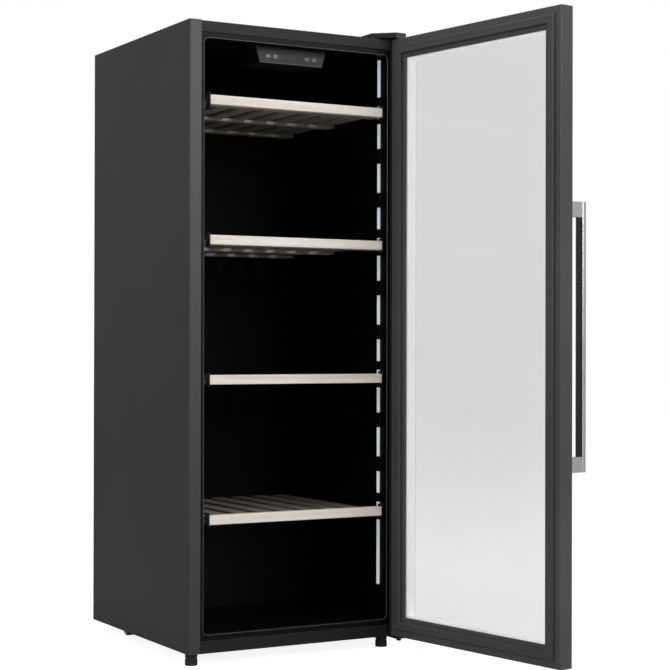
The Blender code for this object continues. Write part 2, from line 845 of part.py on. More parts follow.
# ---------------------------------------------------------------- machine compartment
def compressor_tray(parent):
    wide = HALF_WIDTH - SHEET - TOUCH
    back = DEPTH - SHEET - TOUCH
    floor = FLOOR_OF_BODY
    outline = [(MACHINE_FRONT + TOUCH, floor), (back, floor), (back, floor + TRAY_UPSTAND)]
    outline += [(back - SHEET, floor + TRAY_UPSTAND), (back - SHEET, floor + SHEET)]
    outline += [(MACHINE_FRONT + TOUCH, floor + SHEET)]
    tray = prism("compressor_tray", outline, "x", -wide, wide)
    reach = INLET_LENGTH
    hole = turned("hole", [(0.0, -reach), (INLET_NECK, -reach), (INLET_NECK, reach), (0.0, reach)], "y")
    hole.location = inlet_centre()
    bpy.context.view_layer.update()
    finish(cut(tray, hole), galvanised_steel(), parent)


def inlet_centre():
    return Vector((INLET_X, DEPTH - SHEET - TOUCH, FLOOR_OF_BODY + SHEET + (TRAY_UPSTAND - SHEET) / 2))


def cord_inlet(parent):
    """A round gland whose spigot passes through the tray's upstand, bored for the supply cord."""
    place = inlet_centre()
    neck = INLET_NECK - TOUCH
    profile = [
        (INLET_BORE, -INLET_LENGTH / 2),
        (neck, -INLET_LENGTH / 2),
        (neck, TOUCH),
        (INLET_RADIUS, TOUCH),
        (INLET_RADIUS, INLET_LENGTH / 4),
        (INLET_BORE + TOUCH * 3, INLET_LENGTH / 2),
        (INLET_BORE, INLET_LENGTH / 2),
    ]
    gland = turned("cord_inlet", profile, "y", closed=True, segments=INLET_SEGMENTS)
    gland.data.transform(Matrix.Translation(place))
    finish(gland, black_steel(), parent, smooth=True)


def compressor_place():
    middle = (MACHINE_FRONT + DEPTH - SHEET) / 2
    return Vector((COMPRESSOR_X, middle, FLOOR_OF_BODY + SHEET + TOUCH))


def compressor(parent):
    """The welded shell, open underneath where it stands on the tray."""
    outer, wall, height = COMPRESSOR_RADIUS, COMPRESSOR_WALL, COMPRESSOR_HEIGHT
    crown = height * CROWN_SHARE
    steps = CROWN_STEPS
    profile = [(outer - wall, 0.0), (outer, 0.0), (outer, height - crown)]
    for k in range(1, steps):
        angle = math.pi / 2 * k / steps
        profile.append((outer * math.cos(angle), height - crown + crown * math.sin(angle)))
    profile.append((0.0, height))
    inside = []
    for k in range(steps):
        angle = math.pi / 2 * k / steps
        inside.append(((outer - wall) * math.cos(angle), height - crown + (crown - wall) * math.sin(angle)))
    inside.append((0.0, height - wall))
    shell = turned("compressor", list(reversed(inside)) + profile, "z")
    shell.data.transform(Matrix.Translation(compressor_place()))
    finish(shell, black_steel(), parent, smooth=True)


def condensate_tray(parent):
    """A shallow dish on the compressor's crown, where melt water evaporates."""
    place = compressor_place()
    low = place.z + COMPRESSOR_HEIGHT + TOUCH
    half = COMPRESSOR_RADIUS * DRIP_TRAY_SHARE
    wall = DRIP_TRAY_WALL
    tray = block(
        "condensate_tray",
        (place.x - half, place.x + half),
        (place.y - half, place.y + half),
        (low, low + DRIP_TRAY_DEPTH),
    )
    inner = half - wall
    hollow = block(
        "hollow",
        (place.x - inner, place.x + inner),
        (place.y - inner, place.y + inner),
        (low + wall, low + 2 * DRIP_TRAY_DEPTH),
    )
    finish(cut(tray, hollow), duct_plastic(), parent)


def condenser_coil(parent):
    place = compressor_place()
    middle_x = -HALF_WIDTH / 2 + TRAY_UPSTAND
    base = FLOOR_OF_BODY + TRAY_UPSTAND + TUBE_RADIUS
    middle_z = base + CONDENSER_PITCH * (CONDENSER_RUNS - 1) / 2
    bends = serpentine(CONDENSER_RUNS, CONDENSER_PITCH, CONDENSER_WIDTH)
    path = [(middle_x + a, place.y, middle_z + b) for a, b in bends]
    path.insert(0, (path[0][0], place.y, FLOOR_OF_BODY + SHEET + TOUCH))
    finish(tube("condenser_coil", path, TUBE_RADIUS), coated_tube(), parent, smooth=True)


# ---------------------------------------------------------------- feet and rollers
def front_feet(parent):
    for side, x in (("left", -HALF_WIDTH + LEFT_FOOT_INSET), ("right", HALF_WIDTH - RIGHT_FOOT_INSET)):
        top = FOOT_HEIGHT - TOUCH
        profile = [(0.0, 0.0), (FOOT_RADIUS, 0.0), (FOOT_RADIUS, FOOT_BASE)]
        profile += [(FOOT_STEM, FOOT_BASE + FOOT_TAPER), (FOOT_STEM, top), (0.0, top)]
        foot = turned(f"front_foot_{side}", profile, "z")
        place = Vector((x, FOOT_SETBACK, 0.0))
        foot.data.transform(Matrix.Translation(place))
        finish(foot, foot_rubber(), parent, origin=place, smooth=True)


def rear_rollers(parent):
    for side, sign in (("left", -1), ("right", 1)):
        x = sign * (HALF_WIDTH - ROLLER_INSET)
        y = DEPTH - ROLLER_SETBACK
        place = Vector((x, y, ROLLER_RADIUS))
        half = ROLLER_WIDTH / 2
        bore = AXLE_RADIUS + PIN_PLAY
        ring = [(bore, -half), (ROLLER_RADIUS, -half), (ROLLER_RADIUS, half), (bore, half)]
        roller = turned(f"rear_roller_{side}", ring, "x", closed=True)
        roller.data.transform(Matrix.Translation(place))
        finish(roller, foot_rubber(), parent, origin=place, smooth=True)
        inner = half + TOUCH * 2
        outer = inner + BRACKET_SHEET
        low = ROLLER_RADIUS - AXLE_RADIUS * 2
        top = FOOT_HEIGHT - TOUCH
        depth = (y - ROLLER_RADIUS, y + ROLLER_RADIUS)
        ceiling = top - BRACKET_SHEET / 2
        arch = [(-outer, low), (-inner, low), (-inner, ceiling), (inner, ceiling)]
        arch += [(inner, low), (outer, low), (outer, top), (-outer, top)]
        bracket = prism(f"roller_bracket_{side}", [(x + a, b) for a, b in arch], "y", *depth)
        end = outer - BRACKET_SHEET / 2
        axle = turned("axle", [(0.0, -end), (AXLE_RADIUS, -end), (AXLE_RADIUS, end), (0.0, end)], "x")
        axle.data.transform(Matrix.Translation(place))
        finish(join(bracket, axle), galvanised_steel(), parent)


# ---------------------------------------------------------------- shelves
def deck_mesh():
    """Slats running front to back, joined on three crossbars. Measured from the board's top front edge."""
    half = OPENING_HALF - BOARD_END_GAP
    bar_half = CAVITY_HALF - CROSSBAR_END_GAP
    front = BOARD_THICKNESS + TOUCH
    back = DUCT_FACE - DECK_BACK_GAP
    slat_low = -SLAT_DROP - SLAT_THICKNESS
    pitch = (2 * half - SLAT_WIDTH) / (SLAT_COUNT - 1)
    slats = []
    for i in range(SLAT_COUNT):
        left = -half + i * pitch
        slats.append(((left, left + SLAT_WIDTH), (front, back), (slat_low, -SLAT_DROP)))
    bars = []
    low = -BOARD_HEIGHT
    high = slat_low + SLAT_SINK
    bars.append(((-half, half), (front, front + CROSSBAR_DEPTH), (low, high)))
    for start in (back * CROSSBAR_MIDDLE_SHARE, back - CROSSBAR_DEPTH - SLAT_SINK):
        bars.append(((-bar_half, bar_half), (start, start + CROSSBAR_DEPTH), (low, high)))
    deck = join(blocks("deck", slats), blocks("bars", bars))
    mesh = deck.data
    bpy.data.objects.remove(deck, do_unlink=True)
    return mesh


def shelves(parent):
    deck = deck_mesh()
    half = OPENING_HALF - BOARD_END_GAP
    for i, top in enumerate(SHELF_TOPS, 1):
        slide = empty(f"shelf_slide_{i}", parent, (0.0, -BOARD_PROUD, top))
        board = block(f"shelf_board_{i}", (-half, half), (0.0, BOARD_THICKNESS), (-BOARD_HEIGHT, 0.0))
        finish(soften(board), beech(), slide)
        obj = bpy.data.objects.new(f"shelf_deck_{i}", deck)
        bpy.context.scene.collection.objects.link(obj)
        obj.parent = slide
    deck.materials.clear()
    deck.materials.append(beech())


# ---------------------------------------------------------------- door
def door_section():
    """Section of a frame bar: distance in from the door's edge, and depth from its inner face."""
    outline = [
        (0.0, 0.0),
        (FRAME_LIP, 0.0),
        (FRAME_LIP, FRAME_WALL),
        (FRAME_WALL, FRAME_WALL),
        (FRAME_WALL, DOOR_THICKNESS - FRAME_WALL),
        (FRAME_WIDTH, DOOR_THICKNESS - FRAME_WALL),
        (FRAME_WIDTH, DOOR_THICKNESS),
        (0.0, DOOR_THICKNESS),
    ]
    radii = [EDGE_ROUND, 0.0, 0.0, 0.0, 0.0, 0.0, 0.0, 2 * EDGE_ROUND]
    return rounded(outline, radii, steps=3)


def mitred_bar(name, place):
    """A frame bar mitred at both ends. place(inset, end, depth) gives a point, end being 0 or 1."""
    bm = bmesh.new()
    outline = door_section()
    rings = []
    for end in (0, 1):
        rings.append([bm.verts.new(place(inset, end, depth)) for inset, depth in outline])
    bm.faces.new(rings[0])
    bm.faces.new(rings[1])
    for i in range(len(outline)):
        j = (i + 1) % len(outline)
        bm.faces.new((rings[0][i], rings[0][j], rings[1][j], rings[1][i]))
    return mesh_object(name, bm)


def door_frame(parent):
    """Four mitred bars, with a hole for a bush in the top and bottom bars on the pivot's axis."""
    miter = TOUCH / 2 * math.sqrt(2)
    left, right = DOOR_FREE_EDGE, DOOR_HINGE_EDGE
    low, high = DOOR_BOTTOM, DOOR_TOP

    def upright(edge, inward):
        def place(inset, end, depth):
            z = high - inset - miter if end else low + inset + miter
            return (edge + inward * inset, DOOR_INNER - depth, z)

        return place

    def level(edge, inward):
        def place(inset, end, depth):
            x = right - inset - miter if end else left + inset + miter
            return (x, DOOR_INNER - depth, edge + inward * inset)

        return place

    bars = {
        "door_stile_hinge": upright(right, -1),
        "door_stile_free": upright(left, 1),
        "door_rail_top": level(high, -1),
        "door_rail_bottom": level(low, 1),
    }
    for name, place in bars.items():
        bar = mitred_bar(name, place)
        if "rail" in name:
            edge = high if name.endswith("top") else low
            reach = FRAME_WALL * 2
            radius = BUSH_RADIUS + TOUCH
            low_end, high_end = edge - reach, edge + reach
            cut(bar, turned("hole", [(0.0, low_end), (radius, low_end), (radius, high_end), (0.0, high_end)]))
        finish(bar, door_paint(), parent, smooth=True)


def hinge_bushes(parent):
    """Flanged rings in the door's rails that turn on the hinge pins."""
    bore = PIN_RADIUS + PIN_PLAY
    for name, edge, out in (("hinge_bush_top", DOOR_TOP, 1), ("hinge_bush_bottom", DOOR_BOTTOM, -1)):
        inside = edge - out * (FRAME_WALL + 2 * TOUCH)
        outside = edge + out * (TOUCH + BUSH_FLANGE)
        seat = edge + out * TOUCH
        rim = BUSH_RADIUS + BUSH_FLANGE * 2
        profile = [(bore, inside), (BUSH_RADIUS, inside), (BUSH_RADIUS, seat)]
        profile += [(rim, seat), (rim, outside), (bore, outside)]
        finish(turned(name, profile, closed=True), bush_nylon(), parent, smooth=True)


def door_loop(inset):
    """Front view of a rectangle a distance in from the door's edges."""
    return rectangle(DOOR_FREE_EDGE + inset, DOOR_HINGE_EDGE - inset, DOOR_BOTTOM + inset, DOOR_TOP - inset)


def door_ring(name, outer, inner, near, far):
    """A ring in the door between two insets and two depths from the inner face."""
    return frame_ring(name, door_loop(outer), door_loop(inner), "y", DOOR_INNER - near, DOOR_INNER - far)


def trim_back():
    return TRIM_SETBACK + TRIM_THICKNESS


def door_seals(parent):
    trim = door_ring("door_inner_trim", FRAME_LIP + TOUCH, TRIM_INNER_EDGE, TRIM_SETBACK, trim_back())
    finish(trim, trim_plastic(), parent)
    proud = DOOR_GAP - GASKET_CLEARANCE
    start = FRAME_LIP + 2 * TOUCH
    gasket = door_ring("door_gasket", start, start + GASKET_WIDTH, -proud, TRIM_SETBACK - TOUCH)
    finish(gasket, gasket_vinyl(), parent)


def door_glazing(parent):
    inner_face = trim_back() + TOUCH
    outer_face = DOOR_THICKNESS - FRAME_WALL - TOUCH
    for name, near in (("inner_glass", inner_face), ("outer_glass", outer_face - GLASS_THICKNESS)):
        pane = prism(name, door_loop(GLASS_EDGE), "y", DOOR_INNER - near - GLASS_THICKNESS, DOOR_INNER - near)
        finish(pane, window_glass(), parent)
    near = inner_face + GLASS_THICKNESS + TOUCH
    far = outer_face - GLASS_THICKNESS - TOUCH
    spacer = door_ring("glass_spacer", SPACER_EDGE, SPACER_EDGE + SPACER_WIDTH, near, far)
    finish(spacer, spacer_metal(), parent)


# ---------------------------------------------------------------- handle
def handle(parent):
    """A square bar on two posts near the door's free edge, with a dark inlay along its back between them."""
    face = DOOR_OUTER - TOUCH
    near = DOOR_FREE_EDGE + HANDLE_INSET
    far = near + HANDLE_BAR_WIDTH
    step = HANDLE_SIDE_STEP
    middle = (DOOR_BOTTOM + DOOR_TOP) / 2
    low, high = middle - HANDLE_LENGTH / 2, middle + HANDLE_LENGTH / 2
    tip = DOOR_OUTER - HANDLE_PROJECTION
    bar_back = tip + HANDLE_BAR_DEPTH
    bar = block("handle_bar", (near, far), (tip, bar_back), (low, high))
    finish(soften(bar), brushed_aluminium(), parent)
    across = (near + step, far - step)
    for name, start in (("handle_post_bottom", low), ("handle_post_top", high - HANDLE_POST_HEIGHT)):
        post = block(name, across, (bar_back + TOUCH, face), (start, start + HANDLE_POST_HEIGHT))
        finish(soften(post, EDGE_ROUND / 2), brushed_aluminium(), parent)
    inlay = (bar_back + TOUCH, bar_back + TOUCH + HANDLE_INSERT_DEPTH)
    ends = (low + HANDLE_POST_HEIGHT + TOUCH, high - HANDLE_POST_HEIGHT - TOUCH)
    inset = (near + 2 * step, near + 2 * step + HANDLE_INSERT_WALL)
    finish(soften(block("handle_insert", inset, inlay, ends)), insert_plastic(), parent)


# ---------------------------------------------------------------- hinges
def lower_hinge_outline():
    """Plan of the lower plate, which passes beside the front foot."""
    right = HALF_WIDTH - 2 * SHEET
    left = HALF_WIDTH - RIGHT_FOOT_INSET + FOOT_RADIUS + HINGE_LOWER_GAP
    return rounded(rectangle(left, right, PIVOT.y - HINGE_NOSE, HINGE_LENGTH), [HINGE_NOSE / 2] * 4, steps=3)


def hinge_outline():
    """Plan of the upper plate: a tongue on the cabinet with a rounded nose in front around the pivot."""
    right = HALF_WIDTH - 2 * SHEET
    left = right - HINGE_WIDTH
    nose = PIVOT.y - HINGE_NOSE
    outline = [(PIVOT.x - HINGE_NOSE_WIDTH, nose), (right, nose), (right, HINGE_LENGTH), (left, HINGE_LENGTH)]
    outline += [(left, PIVOT_FRONT / 2)]
    return rounded(outline, [HINGE_NOSE / 2, HINGE_NOSE / 2, EDGE_ROUND, EDGE_ROUND, HINGE_NOSE / 2], steps=3)


def hinges(parent):
    top = TOP_OF_BODY + TOUCH
    bottom = FLOOR_OF_BODY - TOUCH
    plate = prism("hinge_bracket_top", hinge_outline(), "z", top, top + HINGE_PLATE)
    finish(plate, black_steel(), parent)
    plate = prism("hinge_bracket_bottom", lower_hinge_outline(), "z", bottom - HINGE_PLATE, bottom)
    finish(plate, black_steel(), parent)
    radius = PIN_RADIUS
    reach = DOOR_TOP - PIN_REACH
    pin = turned("hinge_pin_top", [(0.0, reach), (radius, reach), (radius, top - TOUCH), (0.0, top - TOUCH)])
    pin.data.transform(Matrix.Translation(PIVOT))
    finish(pin, galvanised_steel(), parent, origin=(PIVOT.x, PIVOT.y, top), smooth=True)
    reach = DOOR_BOTTOM + PIN_REACH
    foot = bottom + TOUCH
    pin = turned("hinge_pin_bottom", [(0.0, foot), (radius, foot), (radius, reach), (0.0, reach)])
    pin.data.transform(Matrix.Translation(PIVOT))
    finish(pin, galvanised_steel(), parent, origin=(PIVOT.x, PIVOT.y, bottom), smooth=True)
    low = top + HINGE_PLATE + TOUCH
    cover = prism("hinge_cover_top", hinge_outline(), "z", low, low + HINGE_COVER_HEIGHT)
    finish(soften(cover), liner_plastic(), parent)


# ---------------------------------------------------------------- assembly
def box_centre_bottom():
    """Middle of the underside of the box around every solid, in the world."""
    bpy.context.view_layer.update()
    graph = bpy.context.evaluated_depsgraph_get()
    points = []
    for obj in bpy.data.objects:
        if obj.type == "MESH":
            mesh = obj.evaluated_get(graph).data
            points += [obj.matrix_world @ vertex.co for vertex in mesh.vertices]
    low = [min(p[k] for p in points) for k in range(3)]
    high = [max(p[k] for p in points) for k in range(3)]
    return Vector(((low[0] + high[0]) / 2, (low[1] + high[1]) / 2, low[2]))


def build():
    clear_scene()
    root = empty("wine_cooler")
    side_panels(root)
    top_panel(root)
    bottom_pan(root)
    back_panel(root)
    front_rails(root)
    foam_insulation(root)
    inner_liner(root)
    light_strips(root)
    duct_panel(root)
    fan_shroud(root)
    fan_rotor(root)
    evaporator_coil(root)
    control_housing(root)
    display_window(root)
    control_keys(root)
    compressor_tray(root)
    cord_inlet(root)
    compressor(root)
    condensate_tray(root)
    condenser_coil(root)
    front_feet(root)
    rear_rollers(root)
    hinges(root)
    shelves(root)
    pivot = empty("door_pivot", root, PIVOT, math.radians(DOOR_REST_DEGREES))
    door_frame(pivot)
    hinge_bushes(pivot)
    door_seals(pivot)
    door_glazing(pivot)
    handle(pivot)
    root.location = -box_centre_bottom()
    bpy.context.view_layer.update()


build()
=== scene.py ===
"""Looks for the wine cooler: materials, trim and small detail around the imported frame, in metres."""
import json
import math

import bmesh
import bpy
from mathutils import Matrix, Vector


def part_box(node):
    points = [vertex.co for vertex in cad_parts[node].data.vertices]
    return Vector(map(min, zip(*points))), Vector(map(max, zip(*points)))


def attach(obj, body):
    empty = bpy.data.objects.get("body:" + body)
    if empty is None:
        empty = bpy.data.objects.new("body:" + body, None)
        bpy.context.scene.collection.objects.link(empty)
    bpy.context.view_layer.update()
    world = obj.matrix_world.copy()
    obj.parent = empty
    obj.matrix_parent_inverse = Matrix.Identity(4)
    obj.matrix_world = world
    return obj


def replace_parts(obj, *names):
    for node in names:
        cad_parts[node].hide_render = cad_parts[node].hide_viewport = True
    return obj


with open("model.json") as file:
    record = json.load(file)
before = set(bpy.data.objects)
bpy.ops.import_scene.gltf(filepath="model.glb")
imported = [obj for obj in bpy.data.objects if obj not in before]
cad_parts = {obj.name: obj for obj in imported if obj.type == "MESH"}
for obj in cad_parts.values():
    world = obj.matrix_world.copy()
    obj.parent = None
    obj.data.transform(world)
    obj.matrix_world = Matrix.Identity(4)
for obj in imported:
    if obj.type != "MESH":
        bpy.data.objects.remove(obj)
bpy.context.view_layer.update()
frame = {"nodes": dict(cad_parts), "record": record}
NODES = frame["nodes"]
RECORD = frame["record"]

# Camera, measured from the foot of the cabinet's front left edge
CAMERA_OFFSET = Vector((-1.7101, -3.7200, 0.7743))
CAMERA_TURN = 29.588
CAMERA_TILT = 0.295
CAMERA_ROLL = 0.126
SENSOR = 36.0
LENS = 91.44

SMOOTH = 35.0

# Small parts
RIM_RADIUS = 0.0005
GASKET_WIDTH = 0.021
TRIM_INNER = 0.0517
SPACER_INNER = 0.0565
RIM_SLOPE = 0.25
MOUTH_RADIUS = 0.0009
MOUTH_INSET = 0.0006
MOUTH_FOOT = 0.0125
MOUTH_HEAD = 0.0125
CAP = 0.0030
CAP_OVERLAP = 0.006
CAP_SETBACK = 0.0008
CAP_EDGE = 0.0006
RUNNER = 0.0012
# Lower than real glass, which keeps the panes' reflections faint
GLASS_IOR = 1.12
# Share of the beech's colour kept on the slats; the rest is painted shade under the shelves
SLAT_SHADE = 0.45
GRIP_RIBS = 18
GRIP_RADIUS = 0.0004
GRIP_SUNK = 0.0002
GRIP_LIFT = 0.0015
GRIP_LENGTH = 0.0120
RING_DROP = 0.0082
CAP_RECESS = 0.0003
NUT_DROP = 0.0060
BRACKET_SCREWS = (0.62, 0.86)
BRACKET_SCREW_RADIUS = 0.0052
BRACKET_SCREW_SUNK = 0.0002
# Painted shade: dark strips set into the grooves beside the liner's flange
SHADE_STRIP_FRONT = 0.0030
SHADE_STRIP_BACK = 0.0085
SHADE_STRIP_GAP = 0.0002
BEADS = 5
BEAD_RADIUS = 0.0012
BEAD_MARGIN = 0.09
BEAD_SUNK = 0.0004
SCREW_ROWS = 6
SCREW_SIDE_INSET = 0.018
SCREW_END_INSET = 0.03
SCREW_PAIR_INSET = 0.15
SCREW_PAIR_EDGE = 0.02
SEAM_SHARE = 0.58
SEAM_RADIUS = 0.0018
SEAM_PROUD = 0.0006
SEAM_STEPS = 48
PIPE_RADIUS = 0.003
PIPE_START = 0.05
PIPE_BEND = 0.008
PIPE_REACH = 0.007
PIPE_SUNK = 0.004
PIPES = ((35, 0.11), (62, 0.125))
DIGIT_SCALE = 0.55
DIGIT_LINE = 0.0007
DEGREE_LINE = 0.0005
DEGREE_RADIUS = 0.0011
DEGREE_SHIFT = 0.0095
DEGREE_LIFT = 0.0036

# Surround that lights the object, and the backdrop that the lens sees
SURROUND = 0.32
BACKDROP = 1.0
FLOOR_GLOW = 0.88


# ---------------------------------------------------------------- stage
def place_camera():
    low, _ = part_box("side_panel_left")
    data = bpy.data.cameras.new("studio_camera")
    data.lens = LENS
    data.sensor_width = SENSOR
    data.clip_end = 100.0
    obj = bpy.data.objects.new("studio_camera", data)
    bpy.context.scene.collection.objects.link(obj)
    turn, tilt = math.radians(CAMERA_TURN), math.radians(CAMERA_TILT)
    ahead = Vector((math.sin(turn) * math.cos(tilt), math.cos(turn) * math.cos(tilt), math.sin(tilt)))
    across = Vector((math.cos(turn), -math.sin(turn), 0.0))
    up = across.cross(ahead)
    basis = Matrix((across, up, -ahead)).transposed().to_4x4()
    place = Matrix.Translation(Vector((low.x, low.y, 0.0)) + CAMERA_OFFSET)
    obj.matrix_world = place @ basis @ Matrix.Rotation(math.radians(CAMERA_ROLL), 4, "Z")
    bpy.context.scene.camera = obj


def area_light(name, place, aim, size, power):
    data = bpy.data.lights.new(name, "AREA")
    data.shape = "RECTANGLE"
    data.size, data.size_y = size
    data.energy = power
    obj = bpy.data.objects.new(name, data)
    bpy.context.scene.collection.objects.link(obj)
    obj.location = place
    obj.rotation_euler = (Vector(aim) - Vector(place)).to_track_quat("-Z", "Y").to_euler()


def seen_directly(tree, otherwise, seen):
    """A strength that is one value to the lens and through glass, and another to every other ray."""
    path = add(tree, "ShaderNodeLightPath")
    either = add(tree, "ShaderNodeMath", operation="MAXIMUM")
    tree.links.new(path.outputs["Is Camera Ray"], either.inputs[0])
    tree.links.new(path.outputs["Is Transmission Ray"], either.inputs[1])
    return spread(tree, either.outputs["Value"], otherwise, seen, 0.0, 1.0)


def light_studio():
    """A white backdrop for the lens and the panes, over a dimmer surround that lights the object."""
    world = bpy.data.worlds.new("studio")
    bpy.context.scene.world = world
    world.use_nodes = True
    tree = world.node_tree
    background = tree.nodes["Background"]
    background.inputs["Color"].default_value = (1.0, 1.0, 1.0, 1.0)
    tree.links.new(seen_directly(tree, SURROUND, BACKDROP), background.inputs["Strength"])
    area_light("key", (1.6, -5.2, 2.6), (0.0, 0.0, 0.8), (3.0, 2.4), 152.0)
    area_light("side", (-5.5, -0.6, 2.4), (-0.3, 0.3, 0.8), (2.6, 2.6), 115.0)
    area_light("over", (0.0, -0.5, 5.0), (0.0, 0.0, 0.0), (5.0, 5.0), 150.0)
    bpy.context.scene.view_settings.view_transform = "Standard"


def lay_floor():
    bm = bmesh.new()
    bmesh.ops.create_grid(bm, x_segments=1, y_segments=1, size=12.0)
    mesh = bpy.data.meshes.new("studio_floor")
    bm.to_mesh(mesh)
    bm.free()
    obj = bpy.data.objects.new("studio_floor", mesh)
    bpy.context.scene.collection.objects.link(obj)
    obj.location = (0.0, 0.0, -0.0005)
    mat = surface("floor", (0.36, 0.36, 0.36), 0.9, grain=even(3), vary=0.005, bump=0.01, specular=0.05)
    tree = mat.node_tree
    shader = tree.nodes["Principled BSDF"]
    shader.inputs["Emission Color"].default_value = (1.0, 1.0, 1.0, 1.0)
    tree.links.new(seen_directly(tree, 0.0, FLOOR_GLOW), shader.inputs["Emission Strength"])
    mesh.materials.append(mat)


# ---------------------------------------------------------------- materials
def new_material(name):
    mat = bpy.data.materials.new(name)
    mat.use_nodes = True
    tree = mat.node_tree
    return mat, tree, tree.nodes["Principled BSDF"]


def add(tree, kind, **values):
    node = tree.nodes.new(kind)
    for key, value in values.items():
        setattr(node, key, value)
    return node


def even(scale):
    """The same scale along all three axes."""
    return (scale, scale, scale)


def noise(tree, scale, detail=4.0, size=1.0, distortion=0.0):
    """Noise in object space, stretched by the three scales."""
    place = add(tree, "ShaderNodeTexCoord")
    mapping = add(tree, "ShaderNodeMapping")
    mapping.inputs["Scale"].default_value = scale
    texture = add(tree, "ShaderNodeTexNoise")
    texture.inputs["Scale"].default_value = size
    texture.inputs["Detail"].default_value = detail
    texture.inputs["Distortion"].default_value = distortion
    tree.links.new(place.outputs["Object"], mapping.inputs["Vector"])
    tree.links.new(mapping.outputs["Vector"], texture.inputs["Vector"])
    return texture.outputs["Fac"]


def ramp(tree, value, stops):
    node = add(tree, "ShaderNodeValToRGB")
    while len(node.color_ramp.elements) < len(stops):
        node.color_ramp.elements.new(0.5)
    for element, (place, color) in zip(node.color_ramp.elements, stops):
        element.position = place
        element.color = (*color, 1.0)
    tree.links.new(value, node.inputs["Fac"])
    return node.outputs["Color"]


def spread(tree, value, low, high, start=0.3, stop=0.7):
    node = add(tree, "ShaderNodeMapRange")
    node.inputs["From Min"].default_value = start
    node.inputs["From Max"].default_value = stop
    node.inputs["To Min"].default_value = low
    node.inputs["To Max"].default_value = high
    tree.links.new(value, node.inputs["Value"])
    return node.outputs["Result"]


def relief(tree, shader, value, strength, distance):
    node = add(tree, "ShaderNodeBump")
    node.inputs["Strength"].default_value = strength
    node.inputs["Distance"].default_value = distance
    tree.links.new(value, node.inputs["Height"])
    tree.links.new(node.outputs["Normal"], shader.inputs["Normal"])


def surface(name, color, rough, metallic=0.0, grain=even(900), patches=even(3), vary=0.12, bump=0.15,
            depth=0.0003, rough_vary=0.06, specular=0.5, glow=0.0):
    """A plain finish with slow patches of tone, a fine grain and uneven gloss."""
    mat, tree, shader = new_material(name)
    slow = noise(tree, patches, detail=3.0)
    fine = noise(tree, grain, detail=2.0)
    dark = tuple(c * (1 - vary) for c in color)
    pale = tuple(min(1.0, c * (1 + vary)) for c in color)
    tree.links.new(ramp(tree, slow, ((0.3, dark), (0.7, pale))), shader.inputs["Base Color"])
    tree.links.new(spread(tree, fine, rough - rough_vary, rough + rough_vary), shader.inputs["Roughness"])
    relief(tree, shader, fine, bump, depth)
    shader.inputs["Metallic"].default_value = metallic
    shader.inputs["Specular IOR Level"].default_value = specular
    shader.inputs["Emission Color"].default_value = (*color, 1.0)
    shader.inputs["Emission Strength"].default_value = glow
    mat.diffuse_color = (*color, 1.0)
    return mat


def timber(name, along, tone=1.0):
    """Pale beech: long rays of tone with the grain along the given axis, and fine pores."""
    mat, tree, shader = new_material(name)
    stretch = {"x": (2.5, 60, 60), "y": (60, 2.5, 60)}[along]
    pores = {"x": (40, 900, 900), "y": (900, 40, 900)}[along]
    figure = noise(tree, stretch, detail=6.0, distortion=0.6)
    fine = noise(tree, pores, detail=2.0)
    woods = ((0.30, (0.70, 0.60, 0.51)), (0.48, (0.80, 0.73, 0.65)),
             (0.62, (0.85, 0.80, 0.74)), (0.8, (0.75, 0.67, 0.58)))
    # A tone below one darkens the wood as painted shade
    tones = [(place, tuple(c * tone for c in wood)) for place, wood in woods]
    mix = add(tree, "ShaderNodeMix", data_type="RGBA", blend_type="MULTIPLY")
    mix.inputs["Factor"].default_value = 0.35
    tree.links.new(ramp(tree, figure, tones), mix.inputs["A"])
    tree.links.new(ramp(tree, fine, ((0.35, (0.72, 0.62, 0.52)), (0.5, (1.0, 1.0, 1.0)))), mix.inputs["B"])
    tree.links.new(mix.outputs["Result"], shader.inputs["Base Color"])
    tree.links.new(spread(tree, fine, 0.45, 0.62), shader.inputs["Roughness"])
    relief(tree, shader, fine, 0.25, 0.0004)
    shader.inputs["Specular IOR Level"].default_value = 0.35
    mat.diffuse_color = (0.8, 0.72, 0.62, 1.0)
    return mat


def brushed(name, color, rough, stretch):
    """Metal brushed along one axis: fine parallel scratches in gloss and height."""
    mat, tree, shader = new_material(name)
    lines = noise(tree, stretch, detail=3.0)
    slow = noise(tree, even(4), detail=2.0)
    pale = tuple(min(1.0, c * 1.08) for c in color)
    dark = tuple(c * 0.9 for c in color)
    tree.links.new(ramp(tree, slow, ((0.3, dark), (0.7, pale))), shader.inputs["Base Color"])
    tree.links.new(spread(tree, lines, rough - 0.08, rough + 0.12), shader.inputs["Roughness"])
    relief(tree, shader, lines, 0.2, 0.0002)
    shader.inputs["Metallic"].default_value = 1.0
    mat.diffuse_color = (*color, 1.0)
    return mat


def clear_glass(name, color):
    mat, tree, shader = new_material(name)
    haze = noise(tree, even(2), detail=2.0)
    fine = noise(tree, even(40), detail=2.0)
    tone = tuple(c * 0.985 for c in color)
    tree.links.new(ramp(tree, haze, ((0.3, tone), (0.7, color))), shader.inputs["Base Color"])
    tree.links.new(spread(tree, fine, 0.03, 0.06), shader.inputs["Roughness"])
    relief(tree, shader, fine, 0.01, 0.0001)
    shader.inputs["Transmission Weight"].default_value = 1.0
    shader.inputs["IOR"].default_value = GLASS_IOR
    mat.diffuse_color = (*color, 0.3)
    return mat


def glowing(name, color, strength):
    mat, tree, shader = new_material(name)
    fine = noise(tree, even(120), detail=2.0)
    dark = tuple(c * 0.9 for c in color)
    tone = ramp(tree, fine, ((0.3, dark), (0.7, color)))
    tree.links.new(tone, shader.inputs["Base Color"])
    tree.links.new(tone, shader.inputs["Emission Color"])
    tree.links.new(spread(tree, fine, 0.3, 0.45), shader.inputs["Roughness"])
    shader.inputs["Emission Strength"].default_value = strength
    relief(tree, shader, fine, 0.05, 0.0002)
    mat.diffuse_color = (*color, 1.0)
    return mat


